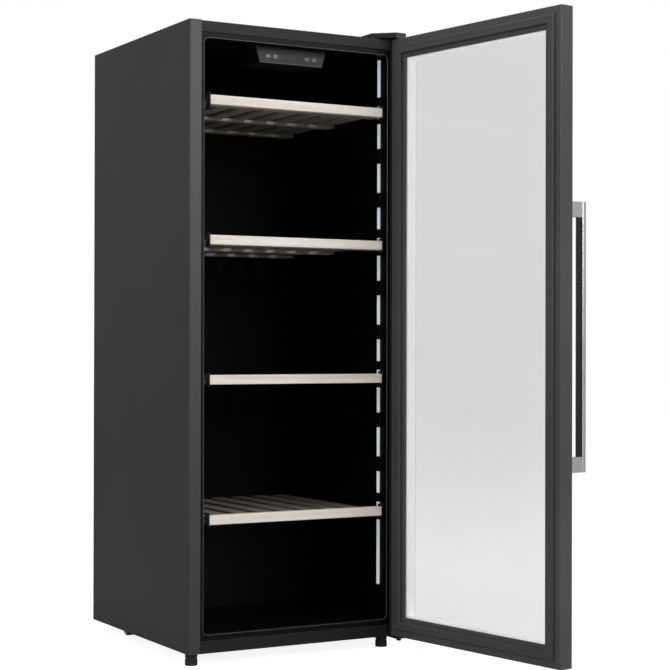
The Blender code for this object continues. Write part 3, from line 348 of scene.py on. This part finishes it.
def front_share(tree, start, stop):
    """One on faces that look to the front and zero on the rest, eased between two slopes."""
    place = add(tree, "ShaderNodeTexCoord")
    axes = add(tree, "ShaderNodeSeparateXYZ")
    tree.links.new(place.outputs["Normal"], axes.inputs["Vector"])
    return spread(tree, axes.outputs["Y"], 1.0, 0.0, start, stop)


def powder_coat_and_highlight():
    """Dark paint, with a painted highlight: a little paler on the edges that face the front."""
    mat = surface("powder_coat_and_highlight", (0.025, 0.025, 0.026), 0.42, grain=even(1400), bump=0.25, specular=0.35)
    tree = mat.node_tree
    shader = tree.nodes["Principled BSDF"]
    tone = shader.inputs["Base Color"].links[0].from_socket
    share = front_share(tree, -0.9, -0.6)
    mix = add(tree, "ShaderNodeMix", data_type="RGBA")
    # Painted highlight: the paler tone on the faces that look to the front
    mix.inputs["B"].default_value = (0.040, 0.041, 0.044, 1.0)
    tree.links.new(share, mix.inputs["Factor"])
    tree.links.new(tone, mix.inputs["A"])
    tree.links.new(mix.outputs["Result"], shader.inputs["Base Color"])
    return mat


def rail_coat():
    return surface("rail_coat", (0.012, 0.012, 0.013), 0.5, grain=even(1400), bump=0.2, specular=0.2)


def door_coat_and_sheen():
    # Dark paint made paler than the cabinet's, partly as a painted sheen on the door's faces
    return surface("door_coat_and_sheen", (0.068, 0.068, 0.072), 0.40, grain=even(1400), bump=0.2, specular=0.35)


def zinc_sheet():
    return surface("zinc_sheet", (0.46, 0.47, 0.48), 0.42, metallic=1.0, patches=even(35), grain=even(500),
                   vary=0.16, rough_vary=0.1, bump=0.1)


def black_enamel():
    return surface("black_enamel", (0.012, 0.012, 0.013), 0.35, grain=even(700), bump=0.15)


def foam_skin():
    return surface("foam_skin", (0.70, 0.60, 0.36), 0.9, grain=even(300), patches=even(12), bump=0.6,
                   depth=0.001, rough_vary=0.05)


def liner_black_and_shade():
    # Black plastic, made darker than plastic is, as painted shade in the cabinet's depth
    return surface("liner_black_and_shade", (0.0018, 0.0018, 0.0020), 0.45, grain=even(1100), bump=0.3, specular=0.12)


def duct_black_and_shade():
    # Black plastic, made darker than plastic is, as painted shade
    return surface("duct_black_and_shade", (0.0020, 0.0020, 0.0022), 0.6, grain=even(1100), bump=0.3, specular=0.1)


def hard_black():
    return surface("hard_black", (0.010, 0.010, 0.011), 0.45, grain=even(900), bump=0.25, specular=0.35)


def copper_tube():
    return brushed("copper_tube", (0.74, 0.38, 0.23), 0.3, (300, 60, 300))


def panel_shell():
    """Satin on the face towards the user and matt black on the sides that turn away from it."""
    mat = surface("panel_shell", (0.011, 0.011, 0.0125), 0.45, grain=even(1200), bump=0.12, specular=0.3)
    tree = mat.node_tree
    shader = tree.nodes["Principled BSDF"]
    tone = shader.inputs["Base Color"].links[0].from_socket
    share = front_share(tree, -0.8, -0.4)
    mix = add(tree, "ShaderNodeMix", data_type="RGBA")
    mix.inputs["A"].default_value = (0.001, 0.001, 0.001, 1.0)
    tree.links.new(share, mix.inputs["Factor"])
    tree.links.new(tone, mix.inputs["B"])
    tree.links.new(mix.outputs["Result"], shader.inputs["Base Color"])
    tree.links.new(spread(tree, share, 0.95, 0.45, 0.0, 1.0), shader.inputs["Roughness"])
    return mat


def key_face():
    return surface("key_face", (0.028, 0.028, 0.031), 0.35, grain=even(1500), bump=0.15, specular=0.4)


def display_face():
    return surface("display_face", (0.008, 0.008, 0.009), 0.4, grain=even(200), bump=0.02, rough_vary=0.03,
                   specular=0.25)


def rubber():
    return surface("rubber", (0.010, 0.010, 0.010), 0.75, grain=even(600), bump=0.5, depth=0.0005)


def nylon():
    return surface("nylon", (0.05, 0.05, 0.05), 0.45, grain=even(800), bump=0.2)


def trim_skin():
    return surface("trim_skin", (0.064, 0.064, 0.068), 0.5, grain=even(1200), bump=0.25, specular=0.3)


def gasket_skin():
    return surface("gasket_skin", (0.058, 0.058, 0.061), 0.6, grain=even(700), bump=0.3, specular=0.3)


def spacer_with_painted_glow():
    """A pale bar with a slight glow of painted light, which covers the dark frame behind it seen from the
    open side.
    """
    return surface("spacer_with_painted_glow", (0.86, 0.86, 0.86), 0.5, grain=even(400), bump=0.1, vary=0.03, glow=0.36)


CAD_FINISHES = {
    powder_coat_and_highlight: ["side_panel_left", "side_panel_right", "top_panel"],
    rail_coat: ["front_top_rail", "front_bottom_rail"],
    door_coat_and_sheen: ["door_stile_hinge", "door_stile_free", "door_rail_top", "door_rail_bottom"],
    zinc_sheet: ["back_panel", "bottom_pan", "compressor_tray", "roller_bracket_left", "roller_bracket_right",
                 "hinge_pin_top", "hinge_pin_bottom"],
    black_enamel: ["compressor", "cord_inlet", "hinge_bracket_top", "hinge_bracket_bottom", "condenser_coil",
                   "evaporator_coil"],
    foam_skin: ["foam_insulation"],
    liner_black_and_shade: ["inner_liner"],
    duct_black_and_shade: ["duct_panel", "fan_shroud", "condensate_tray"],
    hard_black: ["fan_rotor", "hinge_cover_top", "handle_insert"],
    panel_shell: ["control_housing"],
    key_face: ["key_power", "key_light", "key_up", "key_down"],
    display_face: ["display_window"],
    rubber: ["front_foot_left", "front_foot_right", "rear_roller_left", "rear_roller_right"],
    nylon: ["hinge_bush_top", "hinge_bush_bottom"],
}


def finish_cad():
    for maker, names in CAD_FINISHES.items():
        mat = maker()
        for name in names:
            put_on(NODES[name], mat)
    glass = clear_glass("door_glass", (0.832, 0.832, 0.836))
    for name in ("inner_glass", "outer_glass"):
        put_on(NODES[name], glass)
    light = glowing("light_diffuser", (0.80, 0.84, 0.88), 0.42)
    for name in ("led_strip_left", "led_strip_right"):
        put_on(NODES[name], light)
    metal = brushed("handle_metal", (0.80, 0.81, 0.83), 0.30, (2600, 2600, 30))
    for name in ("handle_bar", "handle_post_top", "handle_post_bottom"):
        put_on(NODES[name], metal)
    # The slats' beech is darkened as painted shade under the shelves
    across, lengthwise = timber("beech_board", "x"), timber("beech_slats_painted_shade", "y", SLAT_SHADE)
    for i in range(1, 5):
        put_on(NODES[f"shelf_board_{i}"], across)
        put_on(NODES[f"shelf_deck_{i}"], lengthwise)


def put_on(obj, mat):
    obj.data.materials.clear()
    obj.data.materials.append(mat)


# ---------------------------------------------------------------- piece helpers
def piece(name, bm, mat, body, smooth=True):
    """Turn a bmesh into a finished piece that rides on a body."""
    bmesh.ops.recalc_face_normals(bm, faces=bm.faces)
    mesh = bpy.data.meshes.new(name)
    bm.to_mesh(mesh)
    bm.free()
    obj = bpy.data.objects.new(name, mesh)
    bpy.context.scene.collection.objects.link(obj)
    mesh.materials.append(mat)
    if smooth:
        mesh.shade_smooth()
        mesh.set_sharp_from_angle(angle=math.radians(SMOOTH))
    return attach(obj, body)


def add_block(bm, low, high, edge=0.0, place=None):
    """A box between two corners with its edges eased, moved by an optional matrix."""
    low, high = Vector(low), Vector(high)
    made = bmesh.ops.create_cube(bm, size=1.0)
    verts = made["verts"]
    bmesh.ops.scale(bm, vec=high - low, verts=verts)
    bmesh.ops.translate(bm, vec=(low + high) / 2, verts=verts)
    faces = {face for vert in verts for face in vert.link_faces}
    if edge > 0.0:
        edges = {e for face in faces for e in face.edges}
        made = bmesh.ops.bevel(bm, geom=list(edges), offset=edge, segments=2, profile=0.5, affect="EDGES")
        verts = {v for face in made["faces"] for v in face.verts} | {v for v in verts if v.is_valid}
    if place is not None:
        bmesh.ops.transform(bm, matrix=place, verts=list(verts))


def add_turned(bm, profile, place, segments=24):
    """Turn a profile of (radius, height) points about the local Z axis, then move it."""
    rings = []
    for radius, height in profile:
        count = 1 if radius == 0.0 else segments
        ring = []
        for k in range(count):
            angle = 2 * math.pi * k / segments
            point = Vector((radius * math.cos(angle), radius * math.sin(angle), height))
            ring.append(bm.verts.new(place @ point))
        rings.append(ring)
    for low, high in zip(rings, rings[1:]):
        for k in range(segments):
            m = (k + 1) % segments
            corners = [low[k % len(low)], low[m % len(low)], high[m % len(high)], high[k % len(high)]]
            bm.faces.new(list(dict.fromkeys(corners)))


def add_bar(bm, points, radius, closed=False, segments=8):
    """A round bar along a path of points, its section square to the path at every point."""
    points = [Vector(point) for point in points]
    count = len(points)
    rings = []
    side = None
    for i, point in enumerate(points):
        before = points[i - 1] if closed or i > 0 else point
        after = points[(i + 1) % count] if closed or i < count - 1 else point
        ahead = (after - before).normalized()
        guess = side or ahead.orthogonal()
        side = (guess - ahead * guess.dot(ahead)).normalized()
        other = ahead.cross(side)
        ring = []
        for k in range(segments):
            angle = 2 * math.pi * k / segments
            ring.append(bm.verts.new(point + radius * (math.cos(angle) * side + math.sin(angle) * other)))
        rings.append(ring)
    pairs = list(zip(rings, rings[1:]))
    if closed:
        pairs.append((rings[-1], rings[0]))
    for low, high in pairs:
        for k in range(segments):
            m = (k + 1) % segments
            bm.faces.new((low[k], low[m], high[m], high[k]))
    if not closed:
        bm.faces.new(rings[0])
        bm.faces.new(rings[-1])


def rounded_loop(x0, x1, z0, z1, radius, steps=6):
    """Points (x, z) round a rectangle with rounded corners."""
    points = []
    centres = ((x1 - radius, z1 - radius), (x0 + radius, z1 - radius),
               (x0 + radius, z0 + radius), (x1 - radius, z0 + radius))
    for quarter, (cx, cz) in enumerate(centres):
        for k in range(steps + 1):
            angle = math.pi / 2 * (quarter + k / steps)
            points.append((cx + radius * math.cos(angle), cz + radius * math.sin(angle)))
    return points


def facing(place, direction):
    """A frame at a place whose local Z looks along a direction."""
    return Matrix.Translation(place) @ Vector(direction).to_track_quat("Z", "Y").to_matrix().to_4x4()


def add_screw(bm, place, direction, radius=0.0035):
    """A domed screw head with a round recess, standing on a surface."""
    frame_at = facing(place, direction)
    shape = ((0.0, 0.0), (1.0, 0.0), (1.0, 0.18), (0.72, 0.42), (0.3, 0.5), (0.22, 0.22), (0.0, 0.22))
    add_turned(bm, [(radius * r, radius * h) for r, h in shape], frame_at, segments=16)


# ---------------------------------------------------------------- control panel
def panel_rim(mat):
    """A fine raised border round the sloping front of the control housing."""
    low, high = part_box("control_housing")
    face = low.y
    slope = RIM_SLOPE * (high.z - low.z)
    inset = RIM_RADIUS * 1.2
    left, right = low.x + inset, high.x - inset
    bottom, top = low.z + inset, high.z - inset
    loop = [(left, top), (left + slope, bottom), (right - slope, bottom), (right, top)]
    bm = bmesh.new()
    add_bar(bm, [(x, face, z) for x, z in loop], RIM_RADIUS, closed=False)
    piece("panel_rim", bm, mat, "cabinet")


def add_stroke(bm, points, face, width=0.0009):
    """A flat mark along a path on a face that looks to the front."""
    add_bar(bm, [(x, face, z) for x, z in points], width / 2, segments=6)


def arc(cx, cz, radius, start, stop, steps=14):
    turns = [math.radians(start + (stop - start) * k / steps) for k in range(steps + 1)]
    return [(cx + radius * math.cos(a), cz + radius * math.sin(a)) for a in turns]


def key_marks(mat):
    marks = {
        "power": [arc(0.0, 0.0, 0.0026, 125, 415), [(0.0, 0.0006), (0.0, 0.0032)]],
        "light": [arc(0.0, 0.0008, 0.0022, -60, 240), [(-0.0011, -0.0018), (0.0011, -0.0018)],
                  [(-0.0008, -0.0029), (0.0008, -0.0029)]],
        "up": [[(-0.0030, -0.0013), (0.0, 0.0017), (0.0030, -0.0013)]],
        "down": [[(-0.0030, 0.0013), (0.0, -0.0017), (0.0030, 0.0013)]],
    }
    for label, strokes in marks.items():
        low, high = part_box(f"key_{label}")
        middle = (low + high) / 2
        bm = bmesh.new()
        for stroke in strokes:
            add_stroke(bm, [(middle.x + x, middle.z + z) for x, z in stroke], low.y)
        piece(f"key_{label}_mark", bm, mat, f"{label}_key")


def display_digits(mat):
    """Two seven-bar digits and a degree ring on the window."""
    low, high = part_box("display_window")
    middle = (low + high) / 2
    tall, wide = 0.0046, 0.0042
    bars = {"top": ((-wide, 2 * tall), (wide, 2 * tall)), "middle": ((-wide, 0.0), (wide, 0.0)),
            "bottom": ((-wide, -2 * tall), (wide, -2 * tall)),
            "upper_left": ((-wide, 0.0), (-wide, 2 * tall)),
            "lower_left": ((-wide, -2 * tall), (-wide, 0.0)), "upper_right": ((wide, 0.0), (wide, 2 * tall)),
            "lower_right": ((wide, -2 * tall), (wide, 0.0))}
    digits = {-0.0075: ("upper_right", "lower_right"),
              0.0035: ("top", "upper_right", "middle", "lower_left", "bottom")}
    bm = bmesh.new()
    for shift, lit in digits.items():
        for bar in lit:
            ends = [(middle.x + shift + a * DIGIT_SCALE, middle.z + b * DIGIT_SCALE) for a, b in bars[bar]]
            add_stroke(bm, ends, low.y, DIGIT_LINE)
    degree = arc(middle.x + DEGREE_SHIFT, middle.z + DEGREE_LIFT, DEGREE_RADIUS, 0, 360)
    add_stroke(bm, degree, low.y, DEGREE_LINE)
    piece("display_digits", bm, mat, "cabinet")


# ---------------------------------------------------------------- door detail
def door_place():
    """The frame of the shut door, turned to the way that it hangs open."""
    hinge = next(joint for joint in RECORD["behaviour"]["joints"] if joint["name"] == "door_hinge")
    opened = math.radians(-hinge["range_deg"][0])
    x, y, _ = hinge["pos_m"]
    return Matrix.Translation((x, y, 0.0)) @ Matrix.Rotation(opened, 4, "Z")


def door_box(*names):
    """Low and high corners of some of the door's nodes in the frame of the shut door."""
    back = door_place().inverted()
    points = [back @ vertex.co for name in names for vertex in NODES[name].data.vertices]
    low = Vector([min(point[k] for point in points) for k in range(3)])
    high = Vector([max(point[k] for point in points) for k in range(3)])
    return low, high


def door_ring(name, profile, mat):
    """Sweep a closed profile of (inset, y) points round the door's edges, with mitred corners."""
    low, high = door_box("door_stile_hinge", "door_stile_free", "door_rail_top", "door_rail_bottom")
    place = door_place()
    bm = bmesh.new()
    loops = []
    for inset, y in profile:
        corners = ((low.x + inset, low.z + inset), (high.x - inset, low.z + inset),
                   (high.x - inset, high.z - inset), (low.x + inset, high.z - inset))
        loops.append([bm.verts.new(place @ Vector((x, y, z))) for x, z in corners])
    for here, there in zip(loops, loops[1:] + loops[:1]):
        for k in range(4):
            m = (k + 1) % 4
            bm.faces.new((here[k], here[m], there[m], there[k]))
    return piece(name, bm, mat, "door")


def insets(name):
    """Outer inset of a ring in the door, with its two depths."""
    low, _ = door_box("door_stile_hinge", "door_stile_free")
    ring_low, ring_high = door_box(name)
    return ring_low.x - low.x, ring_low.y, ring_high.y


def bellows_gasket(mat):
    """The gasket with a rounded front, a groove down its middle and folded sides."""
    outer, y0, y1 = insets("door_gasket")
    wide, tall = GASKET_WIDTH, y1 - y0
    half = [(0.0, 0.0), (0.0, 0.42), (0.07, 0.56), (0.0, 0.70), (0.05, 0.88), (0.16, 0.98), (0.36, 1.0),
            (0.46, 0.93)]
    other = [(0.54, 0.93), (0.64, 1.0), (0.84, 0.98), (0.95, 0.88), (1.0, 0.70), (0.93, 0.56), (1.0, 0.42),
             (1.0, 0.0)]
    shape = [(outer + a * wide, y0 + b * tall) for a, b in half + other]
    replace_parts(door_ring("gasket_bellows", shape, mat), "door_gasket")


def stepped_trim(mat):
    """The inner trim with an eased inner edge and a fine step beside the pane."""
    outer, y0, y1 = insets("door_inner_trim")
    inner = TRIM_INNER
    shape = [(outer, y0), (outer, y1), (inner - 0.0035, y1), (inner - 0.0028, y1 - 0.0006),
             (inner - 0.0012, y1 - 0.0008),
             (inner - 0.0004, y1 - 0.0012), (inner, y1 - 0.0020), (inner, y0)]
    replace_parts(door_ring("trim_stepped", shape, mat), "door_inner_trim")


def pane_spacer(mat):
    """A pale spacer between the panes, with the groove that a drawn bar has on its open side."""
    outer, y0, y1 = insets("glass_spacer")
    inner = SPACER_INNER
    tall = y1 - y0
    shape = [(outer, y0), (outer, y1), (inner, y1), (inner, y0 + tall * 0.56),
             (inner - 0.0006, y0 + tall * 0.52),
             (inner - 0.0006, y0 + tall * 0.48), (inner, y0 + tall * 0.44), (inner, y0)]
    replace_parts(door_ring("spacer_bar", shape, mat), "glass_spacer")


# ---------------------------------------------------------------- cabinet detail
def mouth_bead(mat):
    """The rolled lip where the liner turns into the opening, paler than the liner as a painted highlight."""
    left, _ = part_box("led_strip_left")
    _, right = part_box("led_strip_right")
    low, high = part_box("inner_liner")
    front = low.y + 0.0002
    inset = MOUTH_INSET
    loop = rounded_loop(left.x + inset, right.x - inset, low.z + MOUTH_FOOT, high.z - MOUTH_HEAD, 0.013)
    bm = bmesh.new()
    add_bar(bm, [(x, front, z) for x, z in loop], MOUTH_RADIUS, closed=True)
    piece("mouth_bead", bm, mat, "cabinet")


def board_shade_caps(mat):
    """A dark cap over each end of every shelf board, which stands in as painted shade on the boards' end
    faces.
    """
    for i in range(1, 5):
        low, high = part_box(f"shelf_board_{i}")
        bm = bmesh.new()
        for x0, x1 in ((low.x - CAP, low.x), (high.x, high.x + CAP)):
            corner = (x0, low.y + CAP_SETBACK, low.z - CAP_OVERLAP)
            add_block(bm, corner, (x1, high.y, high.z + CAP_OVERLAP), CAP_EDGE)
        piece(f"shelf_{i}_shade_caps", bm, mat, f"shelf_{i}")


def shelf_rails(mat):
    """Dark runners along both sides of every deck."""
    for i in range(1, 5):
        low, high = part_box(f"shelf_deck_{i}")
        board_low, board_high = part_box(f"shelf_board_{i}")
        bm = bmesh.new()
        for x0, x1 in ((board_low.x - RUNNER, board_low.x), (board_high.x, board_high.x + RUNNER)):
            add_block(bm, (x0, board_high.y, low.z + 0.0125), (x1, high.y, high.z + 0.006), 0.0003)
        piece(f"shelf_{i}_runners", bm, mat, f"shelf_{i}")


def rear_detail(steel, dark, label):
    """Beads pressed into the back panel, its screws, and a blank plate."""
    low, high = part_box("back_panel")
    bm = bmesh.new()
    y = high.y - BEAD_SUNK
    for k in range(BEADS):
        x = low.x + (high.x - low.x) * (k + 1) / (BEADS + 1)
        path = [(x, y, low.z + BEAD_MARGIN), (x, y, high.z - BEAD_MARGIN)]
        add_bar(bm, path, BEAD_RADIUS, segments=10)
    piece("back_beads", bm, steel, "cabinet")
    bm = bmesh.new()
    span = high.z - low.z - 2 * SCREW_END_INSET
    for x in (low.x + SCREW_SIDE_INSET, high.x - SCREW_SIDE_INSET):
        for k in range(SCREW_ROWS):
            z = low.z + SCREW_END_INSET + span * k / (SCREW_ROWS - 1)
            add_screw(bm, (x, high.y, z), (0, 1, 0))
    for x in (low.x + SCREW_PAIR_INSET, high.x - SCREW_PAIR_INSET):
        add_screw(bm, (x, high.y, high.z - SCREW_PAIR_EDGE), (0, 1, 0))
        add_screw(bm, (x, high.y, low.z + SCREW_PAIR_EDGE), (0, 1, 0))
    piece("back_screws", bm, dark, "cabinet")
    bm = bmesh.new()
    corner = (high.x - 0.07, high.y + 0.0004, high.z - 0.13)
    add_block(bm, (high.x - 0.16, high.y, high.z - 0.20), corner, 0.0001)
    piece("back_plate", bm, label, "cabinet")


def compressor_detail(dark, copper, cover):
    """Weld seam, terminal cover and stub pipes of the compressor."""
    low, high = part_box("compressor")
    cx, cy = (low.x + high.x) / 2, (low.y + high.y) / 2
    radius = (high.x - low.x) / 2
    seam = low.z + (high.z - low.z) * SEAM_SHARE
    bm = bmesh.new()
    reach = radius + SEAM_PROUD
    turns = [2 * math.pi * k / SEAM_STEPS for k in range(SEAM_STEPS)]
    ring = [(cx + reach * math.cos(a), cy + reach * math.sin(a), seam) for a in turns]
    add_bar(bm, ring, SEAM_RADIUS, closed=True)
    piece("compressor_seam", bm, dark, "cabinet")
    bm = bmesh.new()
    side = cx - radius
    corner = (side + 0.006, cy + 0.024, low.z + 0.085)
    add_block(bm, (side - 0.026, cy - 0.024, low.z + 0.035), corner, 0.004)
    piece("terminal_cover", bm, cover, "cabinet")
    bm = bmesh.new()
    for turn, rise in PIPES:
        a = math.radians(turn)
        near, far = radius - PIPE_SUNK, radius + PIPE_REACH
        start = Vector((cx + near * math.cos(a), cy + near * math.sin(a), low.z + PIPE_START))
        out = Vector((cx + far * math.cos(a), cy + far * math.sin(a), low.z + PIPE_START))
        bend = out + Vector((0.0, 0.0, PIPE_BEND))
        add_bar(bm, [start, out, bend, Vector((out.x, out.y, low.z + rise))], PIPE_RADIUS, segments=10)
    piece("compressor_pipes", bm, copper, "cabinet")


def feet_detail(dark):
    """A ribbed grip round each foot's base and a lock ring on its stem, up to the body."""
    for side in ("left", "right"):
        low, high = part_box(f"front_foot_{side}")
        cx, cy = (low.x + high.x) / 2, (low.y + high.y) / 2
        wide = (high.x - low.x) / 2
        bm = bmesh.new()
        ring = [(wide * 0.8, 0.0), (wide, 0.0006), (wide, 0.0072), (wide * 0.8, 0.0078)]
        add_turned(bm, ring + [ring[0]], Matrix.Translation((cx, cy, high.z - RING_DROP)), segments=32)
        bmesh.ops.remove_doubles(bm, verts=bm.verts, dist=1e-6)
        piece(f"foot_nut_{side}", bm, dark, f"{side}_foot")
        bm = bmesh.new()
        reach = wide - GRIP_SUNK
        for k in range(GRIP_RIBS):
            a = 2 * math.pi * k / GRIP_RIBS
            place = Vector((cx + reach * math.cos(a), cy + reach * math.sin(a), low.z + GRIP_LIFT))
            add_bar(bm, [place, place + Vector((0.0, 0.0, GRIP_LENGTH))], GRIP_RADIUS, segments=6)
        piece(f"foot_grip_{side}", bm, dark, f"{side}_foot")


def hinge_detail(dark):
    """A cap over the top pin, and a nut and two screw heads under the bottom bracket."""
    _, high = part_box("hinge_cover_top")
    pin_low, pin_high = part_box("hinge_pin_top")
    px, py = (pin_low.x + pin_high.x) / 2, (pin_low.y + pin_high.y) / 2
    bm = bmesh.new()
    recess = [(0.0, 0.0), (0.0072, 0.0), (0.0072, 0.0002), (0.0062, 0.0003), (0.0, 0.0003)]
    add_turned(bm, recess, Matrix.Translation((px, py, high.z - CAP_RECESS)), segments=32)
    piece("hinge_cap", bm, dark, "cabinet")
    low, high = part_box("hinge_bracket_bottom")
    bm = bmesh.new()
    nut = [(0.0, 0.0), (0.0062, 0.0), (0.0068, 0.0006), (0.0068, 0.0058), (0.0, 0.0058)]
    add_turned(bm, nut, Matrix.Translation((px, py, low.z - NUT_DROP)), segments=6)
    for share in BRACKET_SCREWS:
        y = low.y + (high.y - low.y) * share
        spot = Vector(((low.x + high.x) / 2, y, low.z - BRACKET_SCREW_SUNK))
        add_screw(bm, spot, (0.0, 0.0, -1.0), BRACKET_SCREW_RADIUS)
    piece("hinge_nut", bm, dark, "cabinet", smooth=False)


def groove_shade_strips(mat):
    """Dark strips that fill the grooves between the liner's flange and the front rails, as painted shade in
    the grooves.
    """
    low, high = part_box("inner_liner")
    _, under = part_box("front_bottom_rail")
    over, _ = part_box("front_top_rail")
    front, back = low.y + SHADE_STRIP_FRONT, low.y + SHADE_STRIP_BACK
    bm = bmesh.new()
    for z0, z1 in ((under.z, low.z), (high.z, over.z)):
        add_block(bm, (low.x, front, z0 + SHADE_STRIP_GAP), (high.x, back, z1 - SHADE_STRIP_GAP), SHADE_STRIP_GAP)
    piece("groove_shade_strips", bm, mat, "cabinet")


# ---------------------------------------------------------------- assembly
def add_detail():
    mark = glowing("panel_mark", (0.62, 0.64, 0.66), 0.18)
    dim = glowing("digit_glow", (0.10, 0.11, 0.12), 0.05)
    dark = surface("detail_black", (0.008, 0.008, 0.008), 0.5, grain=even(800), bump=0.2, specular=0.3)
    steel = surface("detail_zinc", (0.5, 0.5, 0.5), 0.35, metallic=1.0, grain=even(700), bump=0.1)
    rim = surface("panel_edge", (0.11, 0.11, 0.115), 0.3, grain=even(900), bump=0.1)
    # Painted highlight: the mouth's lip far paler than the black liner
    lip = surface("mouth_lip_highlight", (0.07, 0.07, 0.074), 0.3, grain=even(900), bump=0.1)
    plate = surface("plate_foil", (0.55, 0.55, 0.55), 0.4, metallic=0.6, grain=even(400), bump=0.05)
    cover = surface("terminal_plastic", (0.05, 0.05, 0.05), 0.45, grain=even(800), bump=0.2)
    bellows_gasket(gasket_skin())
    stepped_trim(trim_skin())
    pane_spacer(spacer_with_painted_glow())
    panel_rim(rim)
    key_marks(mark)
    display_digits(dim)
    mouth_bead(lip)
    board_shade_caps(dark)
    shelf_rails(dark)
    rear_detail(steel, dark, plate)
    compressor_detail(dark, copper_tube(), cover)
    feet_detail(dark)
    hinge_detail(dark)
    groove_shade_strips(dark)


place_camera()
light_studio()
lay_floor()
finish_cad()
add_detail()
